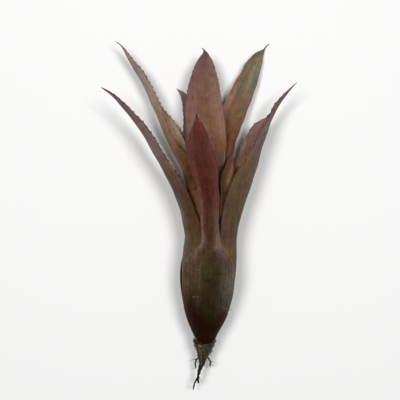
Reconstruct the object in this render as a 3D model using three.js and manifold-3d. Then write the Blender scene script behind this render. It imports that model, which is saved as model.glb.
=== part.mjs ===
import * as THREE from 'three';
import Module from 'manifold-3d';

// Small neoregelia bromeliad with bare roots, lying on its back. Millimetres, +Z up.
// The origin is on the surface it rests on, under the widest part of the urn.

// How the plant lies
const PITCH = 5 * Math.PI / 180;
const LEAN = 3.4 * Math.PI / 180;
const AXIS_HEIGHT = 16.0;

// The urn made by the leaf bases: height along the axis, outer radius
const URN = [[-47, 2.9], [-42, 4.0], [-37, 6.2], [-31, 9.2], [-24, 12.2], [-15, 14.8],
  [-6, 16.8], [3, 17.8], [14, 17.9], [26, 17.2], [50, 16.7]];
const FLAT_BLEND = 0.5;

// Heights along the axis between which the urn lies flat, and how far it stands clear beyond them
const REST_FROM = -5.6;
const REST_TO = 2.6;
const CLEAR = 0.5;

// Leaf shells
const LAYER = 1.15;
const THICK_MIDDLE = 0.85;
const THICK_MARGIN = 0.62;
const URN_TOP = 25;
const ROW_HEIGHTS = [-37, -31, -25, -19, -12, -5, 2, 9, 15, 19, 22];
const COLUMN = 15;
const TOOTH_PITCH = 3.8;
const TOOTH_LENGTH = 0.65;
const FACET_DEPTH = 0.2;

// Stem, roots and dry scales
const STEM = [[-49, 1.5], [-46.5, 2.1], [-43, 2.3], [-36, 2.5], [-28, 2.5], [-22, 2.0], [-19.5, 1.0]];
const SCALE_THICK = 0.62;

// Each leaf: layer counted from outside, azimuth of its midline round the axis (0 faces up,
// 90 faces left), half width of its sheath in degrees against height, and its blade as a
// midline with x, y, z, half width, half fold in degrees and the direction it faces.
const LEAVES = [
  {
    name: 'front_leaf', color: 0x532c25, layer: 0, azimuth: 0,
    sheath: [[-42, 90], [-20, 84], [-8, 72], [3, 63], [9, 58], [15.5, 48], [19, 38.5], [22, 28.5], [25, 19.8]],
    blade: [
      [0.6, 36.6, 37.2, 5.6, 27, 0],
      [0.5, 46.7, 39.5, 6.2, 38, 0],
      [-0.4, 56.6, 42.0, 7.2, 48, 0],
      [-2.4, 67.0, 44.0, 9.0, 52, 0],
      [-4.8, 76.8, 45.0, 8.9, 50, 0],
      [-5.7, 84.3, 45.0, 6.9, 45, 0],
      [-6.2, 90.7, 44.5, 4.6, 38, 0],
      [-6.7, 96.0, 43.8, 1.7, 30, 0],
      [-7.0, 98.1, 43.4, 0.5, 25, 0],
      [-7.1, 99.8, 43.2, 0.2, 20, 0]],
  },
  {
    name: 'left_leaf', color: 0x6e5244, layer: 1, azimuth: 85,
    sheath: [[-42, 72], [-10, 68], [25, 67]],
    blade: [
      [-15.9, 36.1, 20.0, 17.5, 66, 84],
      [-18.3, 46.5, 21.5, 14.5, 62, 82],
      [-21.7, 55.7, 22.9, 12, 62, 78],
      [-26.4, 64.8, 24.0, 10.5, 60, 78],
      [-32.2, 75.7, 25.5, 9.5, 56, 80],
      [-40.1, 89.5, 27.0, 8.7, 52, 80],
      [-49.1, 102.0, 28.0, 5.9, 43, 82],
      [-56.0, 110.1, 28.5, 3.6, 38, 82],
      [-61.1, 114.6, 28.6, 1.6, 32, 82],
      [-63.5, 116.4, 28.5, 0.7, 30, 82],
      [-64.7, 117.3, 28.4, 0.2, 20, 82]],
  },
  {
    name: 'upper_left_leaf', color: 0x75604f, layer: 2, azimuth: 98,
    sheath: [[-42, 70], [-10, 68], [25, 68]],
    blade: [
      [-12.9, 35.9, 16.9, 16.7, 71, 94],
      [-12.6, 46.5, 17.0, 15.2, 74, 90],
      [-13.5, 57.1, 16.2, 14.2, 77, 89],
      [-16.7, 68.3, 14.9, 13.5, 83, 94],
      [-18.7, 72.5, 13.9, 12.8, 83.5, 99.5],
      [-20.7, 76.5, 12.9, 12.1, 82.5, 105.5],
      [-24.7, 85.9, 11.8, 11.6, 81, 110],
      [-29.5, 96.0, 11.2, 11.5, 74, 105],
      [-34.0, 106.1, 10.9, 10.1, 64.5, 93.5],
      [-38.1, 115.5, 10.5, 8.9, 60, 88],
      [-42.8, 125.0, 10.5, 8.0, 58, 86],
      [-47.1, 132.1, 10.8, 6.6, 55, 86],
      [-50.9, 139.2, 11.2, 4.2, 48, 88],
      [-53.6, 144.3, 11.6, 1.9, 38, 90],
      [-55.2, 146.5, 11.8, 0.8, 30, 90],
      [-58.3, 148.8, 12.0, 0.25, 20, 90]],
  },
  {
    name: 'right_leaf', color: 0x6a5040, layer: 1, azimuth: -95,
    sheath: [[-42, 76], [-10, 75], [25, 74]],
    blade: [
      [19.8, 38.5, 19.1, 20.5, 76, -90],
      [23.1, 48.4, 19.5, 20.9, 81.5, -89.5],
      [26.1, 57.6, 19.2, 20.0, 84.5, -92.5],
      [28.7, 66.3, 17.7, 17.7, 88.5, -101.5],
      [31.2, 74.3, 17.4, 16.2, 97.5, -106.5],
      [34.0, 84.2, 17.6, 14, 94.5, -115.5],
      [36.4, 92.1, 18.5, 11.3, 86, -114.5],
      [38.9, 99.1, 19.4, 6.9, 69, -97],
      [42.6, 105.8, 20.0, 4.9, 58, -82],
      [46.9, 112.2, 20.3, 3.5, 54, -82],
      [50.4, 117.1, 20.4, 1.6, 42, -84],
      [52.9, 120.0, 20.4, 0.7, 30, -84],
      [54.4, 121.7, 20.4, 0.2, 20, -84]],
  },
  {
    name: 'right_back_leaf', color: 0x6c6048, layer: 2, azimuth: -106,
    sheath: [[-42, 70], [-10, 70], [25, 72]],
    blade: [
      [15.8, 35.8, 15.7, 18.9, 78, -100],
      [15.8, 46.5, 16.0, 17.8, 79, -98],
      [16.0, 57.1, 16.2, 16.6, 81, -97],
      [16.1, 62.0, 16.2, 16.1, 82, -97],
      [15.8, 66.0, 15.0, 14.4, 76.5, -104.5],
      [14.6, 69.5, 12.9, 12.3, 66, -118],
      [13.2, 73.0, 11.4, 10.8, 58, -130],
      [11.9, 80.4, 10.3, 10.2, 55, -146],
      [11.5, 88.7, 9.0, 9.9, 53, -163],
      [13.1, 97.7, 7.5, 9.6, 51, -178],
      [16.7, 108.0, 6.0, 9, 50, -188],
      [20.8, 117.7, 4.9, 8.3, 49, -191],
      [25.1, 126.7, 3.9, 7.2, 47, -192],
      [28.7, 135.2, 3.0, 5.5, 44, -192],
      [31.9, 141.1, 2.2, 3.7, 40, -192],
      [34.7, 144.6, 1.3, 1.4, 34, -192],
      [36.1, 146.3, 0.7, 0.5, 25, -190],
      [37.6, 148.5, 0.3, 0.35, 20, -190],
      [39.3, 149.9, 0.05, 0.2, 20, -185]],
  },
  {
    name: 'tall_back_leaf', color: 0x765644, layer: 3, azimuth: 180,
    sheath: [[-42, 90], [-10, 84], [25, 78]],
    blade: [
      [0.8, 35.6, 6.2, 15, 66, 180],
      [-0.3, 48.3, 8.0, 10.6, 56, 180],
      [-1.3, 62.2, 10.2, 11.7, 51, 180],
      [-1.8, 74.6, 11.8, 13.6, 48, 180],
      [-1.6, 85.8, 13.0, 14, 45, 180],
      [-2.0, 99.4, 14.0, 13.2, 43, 180],
      [-2.7, 113.7, 14.6, 11.6, 42, 180],
      [-2.6, 124.2, 15.0, 9.4, 40, 180],
      [-2.1, 132.2, 15.3, 6.6, 38, 180],
      [-1.9, 137.7, 15.6, 3.9, 34, 180],
      [-2.0, 140.7, 16.0, 1.7, 26, 180],
      [-2.5, 142.1, 16.4, 0.6, 20, 180],
      [-4.0, 143.7, 17.0, 0.2, 20, 180]],
  },
  {
    name: 'short_back_leaf', color: 0x7b696b, layer: 0, azimuth: 170,
    sheath: [[-42, 72], [-25, 78], [0, 80], [10, 66], [18, 46], [25, 31]],
    blade: [
      [-2.9, 35.5, 1.6, 9.0, 31, 170],
      [-3.9, 46.4, 1.7, 9.0, 33, 170],
      [-5.4, 59.2, 1.9, 8.9, 35, 172],
      [-7.0, 72.0, 2.1, 8.5, 37, 174],
      [-8.3, 84.8, 2.2, 7.8, 37, 176],
      [-9.8, 97.6, 2.1, 6.6, 36, 178],
      [-11.5, 107.9, 1.8, 4.8, 33, 178],
      [-14.6, 115.0, 1.3, 2.7, 30, 178],
      [-17.6, 118.9, 0.6, 1.0, 25, 178],
      [-18.9, 120.1, 0.3, 0.45, 20, 178],
      [-20.0, 121.1, 0.05, 0.2, 20, 178]],
  },
  {
    name: 'heart_leaf', color: 0x6f7a45, layer: 5, azimuth: 20,
    sheath: [[-42, 100], [0, 110], [25, 60]],
    blade: [
      [0.0, 30.0, 28.0, 8.5, 50, 20],
      [1.0, 36.0, 27.0, 5.4, 42, 20],
      [1.6, 41.0, 26.2, 2.4, 34, 20],
      [1.9, 43.6, 25.8, 0.6, 25, 20],
      [2.1, 45.4, 25.6, 0.2, 20, 20]],
  },
];

// Dry scales round the foot of the urn: azimuth, half width, foot and top heights, torn depth
const SCALES = [
  { name: 'scale_left', azimuth: 48, half: 46, foot: -46.2, top: -35.5, torn: 3.2, seed: 3 },
  { name: 'scale_right', azimuth: -62, half: 50, foot: -45.6, top: -36.5, torn: 2.8, seed: 8 },
  { name: 'scale_under', azimuth: 165, half: 52, foot: -46.0, top: -37.5, torn: 2.6, seed: 5 },
];

// Roots: points along each, radius at its foot and at its tip
const ROOTS = [
  { points: [[-48.6, 0.2, 0.1], [-53, -1.4, 0.4], [-60, -2.6, -0.6], [-67, -2.2, -2.2]], r: [1.0, 0.62] },
  { points: [[-48.2, -0.6, 0.3], [-55, -1.0, 2.2], [-61, -2.8, 2.2], [-66, -4.6, 0.8], [-71, -5.2, -1.2]],
    r: [0.75, 0.42] },
  { points: [[-47.6, -0.9, -0.5], [-52, -4.6, -1.6], [-58, -4.4, -3.6]], r: [0.6, 0.4] },
  { points: [[-47.8, 1.0, -0.2], [-51.5, 4.2, -1.6], [-56.5, 4.6, -4.2]], r: [0.6, 0.4] },
  { points: [[-47.4, 0.3, -1.0], [-52, 1.2, -4.0], [-57, 0.4, -6.4]], r: [0.6, 0.4] },
];

const rad = (a) => a * Math.PI / 180;

// Axis direction, and the two directions square to it
const AXIS = new THREE.Vector3(Math.sin(LEAN) * Math.cos(PITCH), Math.cos(LEAN) * Math.cos(PITCH),
  Math.sin(PITCH));
const SIDE = new THREE.Vector3(Math.cos(LEAN), -Math.sin(LEAN), 0);
const FRONT = new THREE.Vector3().crossVectors(SIDE, AXIS);

function slopes(xs, ys) {
  const n = xs.length;
  const d = [];
  for (let i = 0; i + 1 < n; i++) d.push((ys[i + 1] - ys[i]) / (xs[i + 1] - xs[i]));
  const m = [d[0]];
  for (let i = 1; i + 1 < n; i++) {
    const a = xs[i] - xs[i - 1];
    const b = xs[i + 1] - xs[i];
    m.push((d[i] * a + d[i - 1] * b) / (a + b));
  }
  m.push(d[n - 2]);
  return m;
}

// Smooth curve through a table, with its slope
function curve(xs, ys) {
  const m = slopes(xs, ys);
  return (x) => {
    let i = 0;
    while (i + 2 < xs.length && x > xs[i + 1]) i++;
    const h = xs[i + 1] - xs[i];
    const t = Math.min(1, Math.max(0, (x - xs[i]) / h));
    const a = ys[i];
    const b = ys[i + 1];
    const t2 = t * t;
    const t3 = t2 * t;
    const value = (2 * t3 - 3 * t2 + 1) * a + (t3 - 2 * t2 + t) * h * m[i]
      + (3 * t2 - 2 * t3) * b + (t3 - t2) * h * m[i + 1];
    const slope = ((6 * t2 - 6 * t) * (a - b)) / h + (3 * t2 - 4 * t + 1) * m[i]
      + (3 * t2 - 2 * t) * m[i + 1];
    return [value, slope];
  };
}

const table = (rows) => curve(rows.map((r) => r[0]), rows.map((r) => r[1]));
const urn = table(URN);
const stem = table(STEM);

// Unit vector away from the axis at an azimuth in radians
function outward(phi) {
  return SIDE.clone().multiplyScalar(-Math.sin(phi)).addScaledVector(FRONT, Math.cos(phi));
}

// Outer radius of the urn, pressed flat where it meets the surface it lies on
function envelope(h, phi) {
  const round = urn(h)[0];
  const down = -Math.cos(phi) * Math.cos(PITCH);
  if (down < 0.2) return round;
  const beyond = Math.max(REST_FROM - h, h - REST_TO, 0);
  const clear = CLEAR * (1 - Math.exp(-beyond * beyond / 16));
  const floor = (AXIS_HEIGHT - clear + h * Math.sin(PITCH)) / down;
  const near = Math.max(FLAT_BLEND - Math.abs(round - floor), 0);
  return Math.min(round, floor) - near * near / (4 * FLAT_BLEND);
}

// Point on the urn at a depth below its outer surface, the depth measured square to the wall
function urnPoint(h, phi, depth) {
  const wall = Math.hypot(1, urn(h)[1]);
  const r = envelope(h, phi) - depth * wall;
  return AXIS.clone().multiplyScalar(h).addScaledVector(outward(phi), r);
}

const thick = (u) => THICK_MIDDLE + (THICK_MARGIN - THICK_MIDDLE) * u * u;

// Height at which a sheath leaves the stem
function footHeight(layer) {
  const depth = layer * LAYER + THICK_MIDDLE;
  let h = -42;
  while (urn(h)[0] - depth * Math.hypot(1, urn(h)[1]) < stem(h)[0] + 0.3) h += 0.1;
  return h;
}

// Row of a leaf on the urn: columns at fixed azimuths, so that neighbouring sheaths nest
function sheathRow(leaf, half, h) {
  const mid = rad(leaf.azimuth);
  const span = rad(half(h)[0]);
  const step = rad(COLUMN);
  const list = [mid - span];
  for (let k = Math.ceil((mid - span) / step + 0.3); k * step < mid + span - 0.3 * step; k++) list.push(k * step);
  list.push(mid + span);
  const row = { key: list, outer: [], inner: [] };
  for (const phi of list) {
    const u = (phi - mid) / span;
    row.outer.push(urnPoint(h, phi, leaf.layer * LAYER));
    row.inner.push(urnPoint(h, phi, leaf.layer * LAYER + thick(u)));
  }
  return row;
}

// Blade of a leaf: an arc carried along its midline
function bladePath(leaf, half) {
  const mid = rad(leaf.azimuth);
  const stations = [];
  for (const h of [URN_TOP - 14, URN_TOP - 7, URN_TOP]) {
    const p = urnPoint(h, mid, leaf.layer * LAYER);
    const a = rad(half(URN_TOP)[0]);
    const r = envelope(h, mid) - leaf.layer * LAYER;
    stations.push([p.x, p.y, p.z, r * a, a, mid]);
  }
  for (const [x, y, z, w, fold, face] of leaf.blade) {
    stations.push([x, y, z - AXIS_HEIGHT, w, rad(fold), rad(face)]);
  }
  const at = [0];
  for (let i = 1; i < stations.length; i++) {
    const [a, b] = [stations[i - 1], stations[i]];
    at.push(at[i - 1] + Math.hypot(b[0] - a[0], b[1] - a[1], b[2] - a[2]));
  }
  const lines = [0, 1, 2, 3, 4, 5].map((k) => curve(at, stations.map((s) => s[k])));
  return { lines, start: at[2], spike: at[at.length - 3], end: at[at.length - 1] };
}

function section(path, s) {
  const [x, y, z, w, fold, face] = path.lines.map((line) => line(s));
  const t = new THREE.Vector3(x[1], y[1], z[1]).normalize();
  const n = outward(face[0]).negate();
  n.addScaledVector(t, -n.dot(t)).normalize();
  const b = new THREE.Vector3().crossVectors(t, n);
  const c = new THREE.Vector3(x[0], y[0], z[0]);
  const a = fold[0];
  const r = w[0] / a;
  const thin = s > path.spike ? 1 - 0.7 * (s - path.spike) / (path.end - path.spike) : 1;
  const point = (u, depth, out) => {
    const q = a * u;
    const p = c.clone().addScaledVector(b, r * Math.sin(q)).addScaledVector(n, r * (1 - Math.cos(q)));
    p.addScaledVector(n, depth * thin * Math.cos(q)).addScaledVector(b, -depth * thin * Math.sin(q));
    const side = Math.sign(u);
    return p.addScaledVector(b, out * side * Math.cos(q)).addScaledVector(n, out * side * Math.sin(q));
  };
  return { point, a, r, t };
}

function bladeRow(path, s) {
  const { point, a, r } = section(path, s);
  const reach = Math.acos(Math.max(0.5, 1 - FACET_DEPTH / r));
  const cells = Math.min(10, Math.max(4, 2 * Math.ceil(a / (2 * reach))));
  const row = { key: [], outer: [], inner: [] };
  for (let i = 0; i <= cells; i++) {
    const u = -1 + 2 * i / cells;
    row.key.push(u);
    row.outer.push(point(u, 0, 0));
    row.inner.push(point(u, thick(u), 0));
  }
  return row;
}

// Closed solid from rows of outer and inner points
class Shell {
  constructor() {
    this.points = [];
    this.faces = [];
  }

  add(p) {
    this.points.push(p);
    return this.points.length - 1;
  }

  addRow(row) {
    return { key: row.key, outer: row.outer.map((p) => this.add(p)), inner: row.inner.map((p) => this.add(p)) };
  }

  face(a, b, c) {
    this.faces.push([a, b, c]);
  }

  strip(low, high, teeth) {
    let i = 0;
    let j = 0;
    const n = low.key.length - 1;
    const m = high.key.length - 1;
    if (teeth) {
      this.face(high.outer[0], low.outer[0], teeth[0]);
      this.face(low.inner[0], high.inner[0], teeth[0]);
      this.face(low.outer[n], high.outer[m], teeth[1]);
      this.face(high.inner[m], low.inner[n], teeth[1]);
      this.face(teeth[0], low.outer[0], low.inner[0]);
      this.face(high.outer[0], teeth[0], high.inner[0]);
      this.face(low.outer[n], teeth[1], low.inner[n]);
      this.face(high.outer[m], high.inner[m], teeth[1]);
    } else {
      this.face(high.outer[0], low.outer[0], low.inner[0]);
      this.face(high.outer[0], low.inner[0], high.inner[0]);
      this.face(low.outer[n], high.outer[m], high.inner[m]);
      this.face(low.outer[n], high.inner[m], low.inner[n]);
    }
    while (i < n || j < m) {
      if (j === m || (i < n && low.key[i + 1] <= high.key[j + 1] + 1e-9)) {
        this.face(low.outer[i], high.outer[j], low.outer[i + 1]);
        this.face(low.inner[i], low.inner[i + 1], high.inner[j]);
        i++;
      } else {
        this.face(low.outer[i], high.outer[j], high.outer[j + 1]);
        this.face(low.inner[i], high.inner[j + 1], high.inner[j]);
        j++;
      }
    }
  }

  // Edge under the first row, or over the last one
  cap(row, over) {
    for (let i = 0; i + 1 < row.key.length; i++) {
      const [a, b, c, d] = [row.outer[i], row.outer[i + 1], row.inner[i + 1], row.inner[i]];
      if (over) {
        this.face(a, c, b);
        this.face(a, d, c);
      } else {
        this.face(a, b, c);
        this.face(a, c, d);
      }
    }
  }

  geometry() {
    const g = new THREE.BufferGeometry();
    g.setAttribute('position', new THREE.Float32BufferAttribute(this.points.flatMap((p) => p.toArray()), 3));
    g.setIndex(this.faces.flat());
    g.computeVertexNormals();
    return g;
  }
}

function leafGeometry(leaf) {
  const half = table(leaf.sheath);
  const shell = new Shell();
  const foot = footHeight(leaf.layer);
  const heights = [foot, ...ROW_HEIGHTS.filter((h) => h > foot + 2.5), URN_TOP];
  let last = null;
  for (const h of heights) {
    const row = shell.addRow(sheathRow(leaf, half, h));
    if (last) shell.strip(last, row);
    else shell.cap(row, false);
    last = row;
  }
  // The blade goes on from the top of the sheath
  const mid = rad(leaf.azimuth);
  const span = rad(half(URN_TOP)[0]);
  last = { ...last, key: last.key.map((phi) => (phi - mid) / span) };
  const path = bladePath(leaf, half);
  const strips = Math.round((path.spike - path.start) / TOOTH_PITCH);
  const pitch = (path.spike - path.start) / strips;
  for (let k = 1; k <= strips; k++) {
    const s = path.start + pitch * k;
    const row = shell.addRow(bladeRow(path, s));
    let teeth = null;
    if (k > 2 && k < strips - 0.5) {
      const cut = section(path, s - pitch * 0.4);
      const depth = THICK_MARGIN / 2;
      const size = TOOTH_LENGTH * Math.min(1, (strips - k) / 5 + 0.4);
      teeth = [-1, 1].map((side) => {
        const p = cut.point(side, depth, size).addScaledVector(cut.t, pitch * 0.12);
        return shell.add(p);
      });
    }
    shell.strip(last, row, teeth);
    last = row;
  }
  const spikes = 2;
  for (let k = 1; k <= spikes; k++) {
    const s = path.spike + (path.end - path.spike) * k / spikes;
    const row = shell.addRow(bladeRow(path, s));
    shell.strip(last, row);
    last = row;
  }
  shell.cap(last, true);
  return shell.geometry();
}

function mulberry(seed) {
  let a = seed;
  return () => {
    a = (a + 0x6d2b79f5) | 0;
    let t = Math.imul(a ^ (a >>> 15), 1 | a);
    t = (t + Math.imul(t ^ (t >>> 7), 61 | t)) ^ t;
    return ((t ^ (t >>> 14)) >>> 0) / 4294967296;
  };
}

function scaleGeometry(scale) {
  const shell = new Shell();
  const draw = mulberry(scale.seed);
  const columns = 10;
  const tops = [];
  for (let i = 0; i <= columns; i++) {
    const side = Math.abs(2 * i / columns - 1);
    const torn = i % 2 ? scale.torn : scale.torn * 0.25 * draw();
    tops.push(scale.top - torn * (0.6 + 0.4 * draw()) - 3 * side * side);
  }
  let last = null;
  for (let j = 0; j <= 4; j++) {
    const row = { key: [], outer: [], inner: [] };
    for (let i = 0; i <= columns; i++) {
      const phi = rad(scale.azimuth + scale.half * (2 * i / columns - 1));
      const h = scale.foot + (tops[i] - scale.foot) * j / 4;
      const flare = 0.5 * (j / 4) ** 3;
      row.key.push(i);
      row.outer.push(urnPoint(h, phi, -0.28 - SCALE_THICK - flare));
      row.inner.push(urnPoint(h, phi, -0.28 - flare));
    }
    const added = shell.addRow(row);
    if (last) shell.strip(last, added);
    else shell.cap(added, false);
    last = added;
  }
  shell.cap(last, true);
  return shell.geometry();
}

// Solid of revolution round the axis
function stemGeometry() {
  const sides = 14;
  const points = [];
  const faces = [];
  for (const [h, r] of STEM) {
    for (let i = 0; i < sides; i++) {
      const phi = 2 * Math.PI * i / sides;
      points.push(AXIS.clone().multiplyScalar(h).addScaledVector(outward(phi), r));
    }
  }
  for (let j = 0; j + 1 < STEM.length; j++) {
    for (let i = 0; i < sides; i++) {
      const a = j * sides + i;
      const b = j * sides + (i + 1) % sides;
      faces.push([a, a + sides, b], [b, a + sides, b + sides]);
    }
  }
  const foot = points.push(AXIS.clone().multiplyScalar(STEM[0][0])) - 1;
  const top = points.push(AXIS.clone().multiplyScalar(STEM[STEM.length - 1][0] + 0.8)) - 1;
  const lastRing = (STEM.length - 1) * sides;
  for (let i = 0; i < sides; i++) {
    const k = (i + 1) % sides;
    faces.push([foot, i, k], [top, lastRing + k, lastRing + i]);
  }
  return { points, faces };
}

// Root: a round cord through its points
function rootGeometry(root) {
  const sides = 6;
  const centre = (p) => AXIS.clone().multiplyScalar(p[0]).addScaledVector(SIDE, p[1]).addScaledVector(FRONT, p[2]);
  const start = centre([root.points[0][0] + 2.5, 0, 0]);
  const line = new THREE.CatmullRomCurve3([start, ...root.points.map(centre)], false, 'centripetal');
  const rings = 3 * root.points.length;
  const points = [];
  const faces = [];
  const up = new THREE.Vector3(0.13, 0.2, 0.97);
  for (let j = 0; j <= rings; j++) {
    const p = line.getPointAt(j / rings);
    const t = line.getTangentAt(j / rings);
    const a = new THREE.Vector3().crossVectors(t, up).normalize();
    const b = new THREE.Vector3().crossVectors(t, a);
    const r = root.r[0] + (root.r[1] - root.r[0]) * j / rings;
    for (let i = 0; i < sides; i++) {
      const q = 2 * Math.PI * i / sides;
      points.push(p.clone().addScaledVector(a, r * Math.cos(q)).addScaledVector(b, r * Math.sin(q)));
    }
  }
  for (let j = 0; j < rings; j++) {
    for (let i = 0; i < sides; i++) {
      const a = j * sides + i;
      const b = j * sides + (i + 1) % sides;
      faces.push([a, b, a + sides], [b, b + sides, a + sides]);
    }
  }
  const foot = points.push(line.getPointAt(0)) - 1;
  const tip = points.push(line.getPointAt(1)) - 1;
  const lastRing = rings * sides;
  for (let i = 0; i < sides; i++) {
    const k = (i + 1) % sides;
    faces.push([foot, k, i], [tip, lastRing + i, lastRing + k]);
  }
  return { points, faces };
}

// Stem and roots joined into one solid
const wasm = await Module();
wasm.setup();

function toSolid({ points, faces }) {
  const mesh = new wasm.Mesh({
    numProp: 3,
    vertProperties: new Float32Array(points.flatMap((p) => p.toArray())),
    triVerts: new Uint32Array(faces.flat()),
  });
  return new wasm.Manifold(mesh);
}

function joined() {
  let body = toSolid(stemGeometry());
  for (const root of ROOTS) body = body.add(toSolid(rootGeometry(root)));
  const mesh = body.getMesh();
  const g = new THREE.BufferGeometry();
  g.setAttribute('position', new THREE.Float32BufferAttribute(Array.from(mesh.vertProperties), 3));
  g.setIndex(Array.from(mesh.triVerts));
  g.computeVertexNormals();
  return g;
}

function piece(name, geometry, color, roughness) {
  const material = new THREE.MeshStandardMaterial({ color, roughness, metalness: 0 });
  const mesh = new THREE.Mesh(geometry, material);
  mesh.name = name;
  return mesh;
}

const plant = new THREE.Group();
plant.name = 'neoregelia';
const crown = new THREE.Group();
crown.name = 'crown';
crown.position.set(0, 0, AXIS_HEIGHT);
for (const leaf of LEAVES) crown.add(piece(leaf.name, leafGeometry(leaf), leaf.color, 0.5));
for (const scale of SCALES) crown.add(piece(scale.name, scaleGeometry(scale), 0x6b5236, 0.85));
crown.add(piece('stem', joined(), 0x4a3626, 0.8));
plant.add(crown);

export default plant;
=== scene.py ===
"""Looks of a small neoregelia bromeliad that lies on its back with bare roots.

Leaves, scales, stem and roots are surfaces worked out in millimetres from the tables of the
solids, with small changes in two leaves, in the part's own frame: the origin under the urn,
+Y along the plant to the leaf tips and +Z up.
"""

import math

import bpy
import numpy as np
from bpy.props import FloatProperty, FloatVectorProperty, IntProperty, PointerProperty
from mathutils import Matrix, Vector


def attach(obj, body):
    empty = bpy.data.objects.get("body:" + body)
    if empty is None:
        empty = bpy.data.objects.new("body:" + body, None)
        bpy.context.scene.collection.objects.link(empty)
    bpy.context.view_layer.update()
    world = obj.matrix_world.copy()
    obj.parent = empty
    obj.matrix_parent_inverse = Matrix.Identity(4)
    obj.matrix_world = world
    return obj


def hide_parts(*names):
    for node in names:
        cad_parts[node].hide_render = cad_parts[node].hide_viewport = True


bl_info = {
    "name": "Neoregelia plant",
    "version": (1, 0, 0),
    "blender": (4, 5, 0),
    "location": "View3D > Sidebar > Neoregelia",
    "description": "Builds the leaves, scales, stem and roots of a small bromeliad",
    "category": "Add Mesh",
}

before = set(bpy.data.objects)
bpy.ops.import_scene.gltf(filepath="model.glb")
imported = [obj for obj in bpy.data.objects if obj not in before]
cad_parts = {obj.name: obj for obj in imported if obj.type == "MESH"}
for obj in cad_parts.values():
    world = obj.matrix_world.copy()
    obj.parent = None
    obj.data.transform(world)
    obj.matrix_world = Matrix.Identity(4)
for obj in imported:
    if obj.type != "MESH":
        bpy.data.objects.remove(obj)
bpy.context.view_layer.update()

MM = 0.001

# The plant's axis: its rise, its lean to the right and its height over the origin
PITCH = math.radians(5)
LEAN = math.radians(3.4)
AXIS_HEIGHT = 16.0
AXIS = np.array([math.sin(LEAN) * math.cos(PITCH), math.cos(LEAN) * math.cos(PITCH),
                 math.sin(PITCH)])
SIDE = np.array([math.cos(LEAN), -math.sin(LEAN), 0.0])
FRONT = np.cross(SIDE, AXIS)
LIFT = np.array([0.0, 0.0, AXIS_HEIGHT])

# The urn, and the stem inside its foot: height along the axis and radius
URN = [[-47, 2.9], [-42, 4.0], [-37, 6.2], [-31, 9.2], [-24, 12.2], [-15, 14.8],
       [-6, 16.8], [3, 17.8], [14, 17.9], [26, 17.2], [50, 16.7]]
URN_TOP = 25.0
STEM = [[-49, 1.5], [-46.5, 2.1], [-43, 2.3], [-36, 2.5], [-28, 2.5], [-22, 2.0], [-19.5, 1.0]]

# The flat spot under the urn: its ends along the axis, how near the floor the wall starts to
# bend into it, the wall's clearance beyond its ends and how soon that is reached. Walls that
# face down less than LEAST_DOWN are left round.
REST_FROM = -5.6
REST_TO = 2.6
FLAT_BLEND = 0.5
CLEAR = 0.5
CLEAR_REACH = 4.0
LEAST_DOWN = 0.2

# Sheaths: distance between layers, thickness in the middle and at the margins, the lowest
# foot, and the clearance of the stem
LAYER = 1.15
THICK_MIDDLE = 0.85
THICK_MARGIN = 0.62
SHEATH_FOOT = -42.0
STEM_CLEAR = 0.3

# Blades: distance between the stations that lead in to the first, length over which the blade
# takes over from the urn, how far the urn's wall is followed, and where the waves start, are
# full and end before the tip
LEAD_IN = 7.0
TAKE_OVER = 5.0
WALL_REACH = 6.0
WAVES_FROM = 8.0
WAVES_RISE = 14.0
WAVES_FALL = 12.0

# Waves of the blade and of its margins: length, share of the height and turn across the leaf
LONG_WAVE = (31.0, 1.0, 1.7)
SHORT_WAVE = (17.0, 0.6, -2.6)
EDGE_WAVE = (12.5, 1.0, 2.2)

# Margins: outermost column of a face, roundness along the leaf and in its tip, share of a
# spine's reach in the column beside it and a spine's lean toward the tip
LAST_COLUMN = 0.975
ROUNDNESS = 0.16
TIP_ROUNDNESS = 0.4
BESIDE_SPINE = 0.3
SPINE_LEAN = 0.4

# Spines: bare pitches at the mouth of the urn, spines that shorten toward the tip and the
# shortest one's share, half width, and shares of the broad tooth and of the narrow spine
BARE = 2
SHORTENING = 5
SHORTEST = 0.4
SPINE_HALF = 0.5
BROAD_SHARE = 0.3
NARROW_SHARE = 0.75

# Rows of a leaf's grid: their distance on the sheath, and how many there are in each spine's
# pitch and in the hooked tip. The tip's end is thinner by the share TIP_THINNING.
SHEATH_STEP = 0.8
PITCH_ROWS = 12
TIP_ROWS = 22
TIP_THINNING = 0.7

# Measures of a leaf's paint: length of sheath that counts as 1, millimetres to a unit of the
# leaf's own map, reach at which a spine is dark, and how far below the tip it starts to darken
SHEATH_PLACE = 62.0
MAP_UNIT = 100
DARK_REACH = 0.45
DARK_TIP = 0.8

# Dry scales: thickness and the share of it lost toward the top, clearance of the urn, columns
# and rows, tears across the top, drop of the sides, height and turns of the ribs, and flare
SCALE_THICK = 0.62
SCALE_THINNING = 0.75
SCALE_CLEAR = 0.28
SCALE_COLUMNS = 61
SCALE_ROWS = 22
TEARS = 5
SIDE_DROP = 3
RIB = 0.09
RIB_TURNS = 37
FLARE = 0.5

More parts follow.
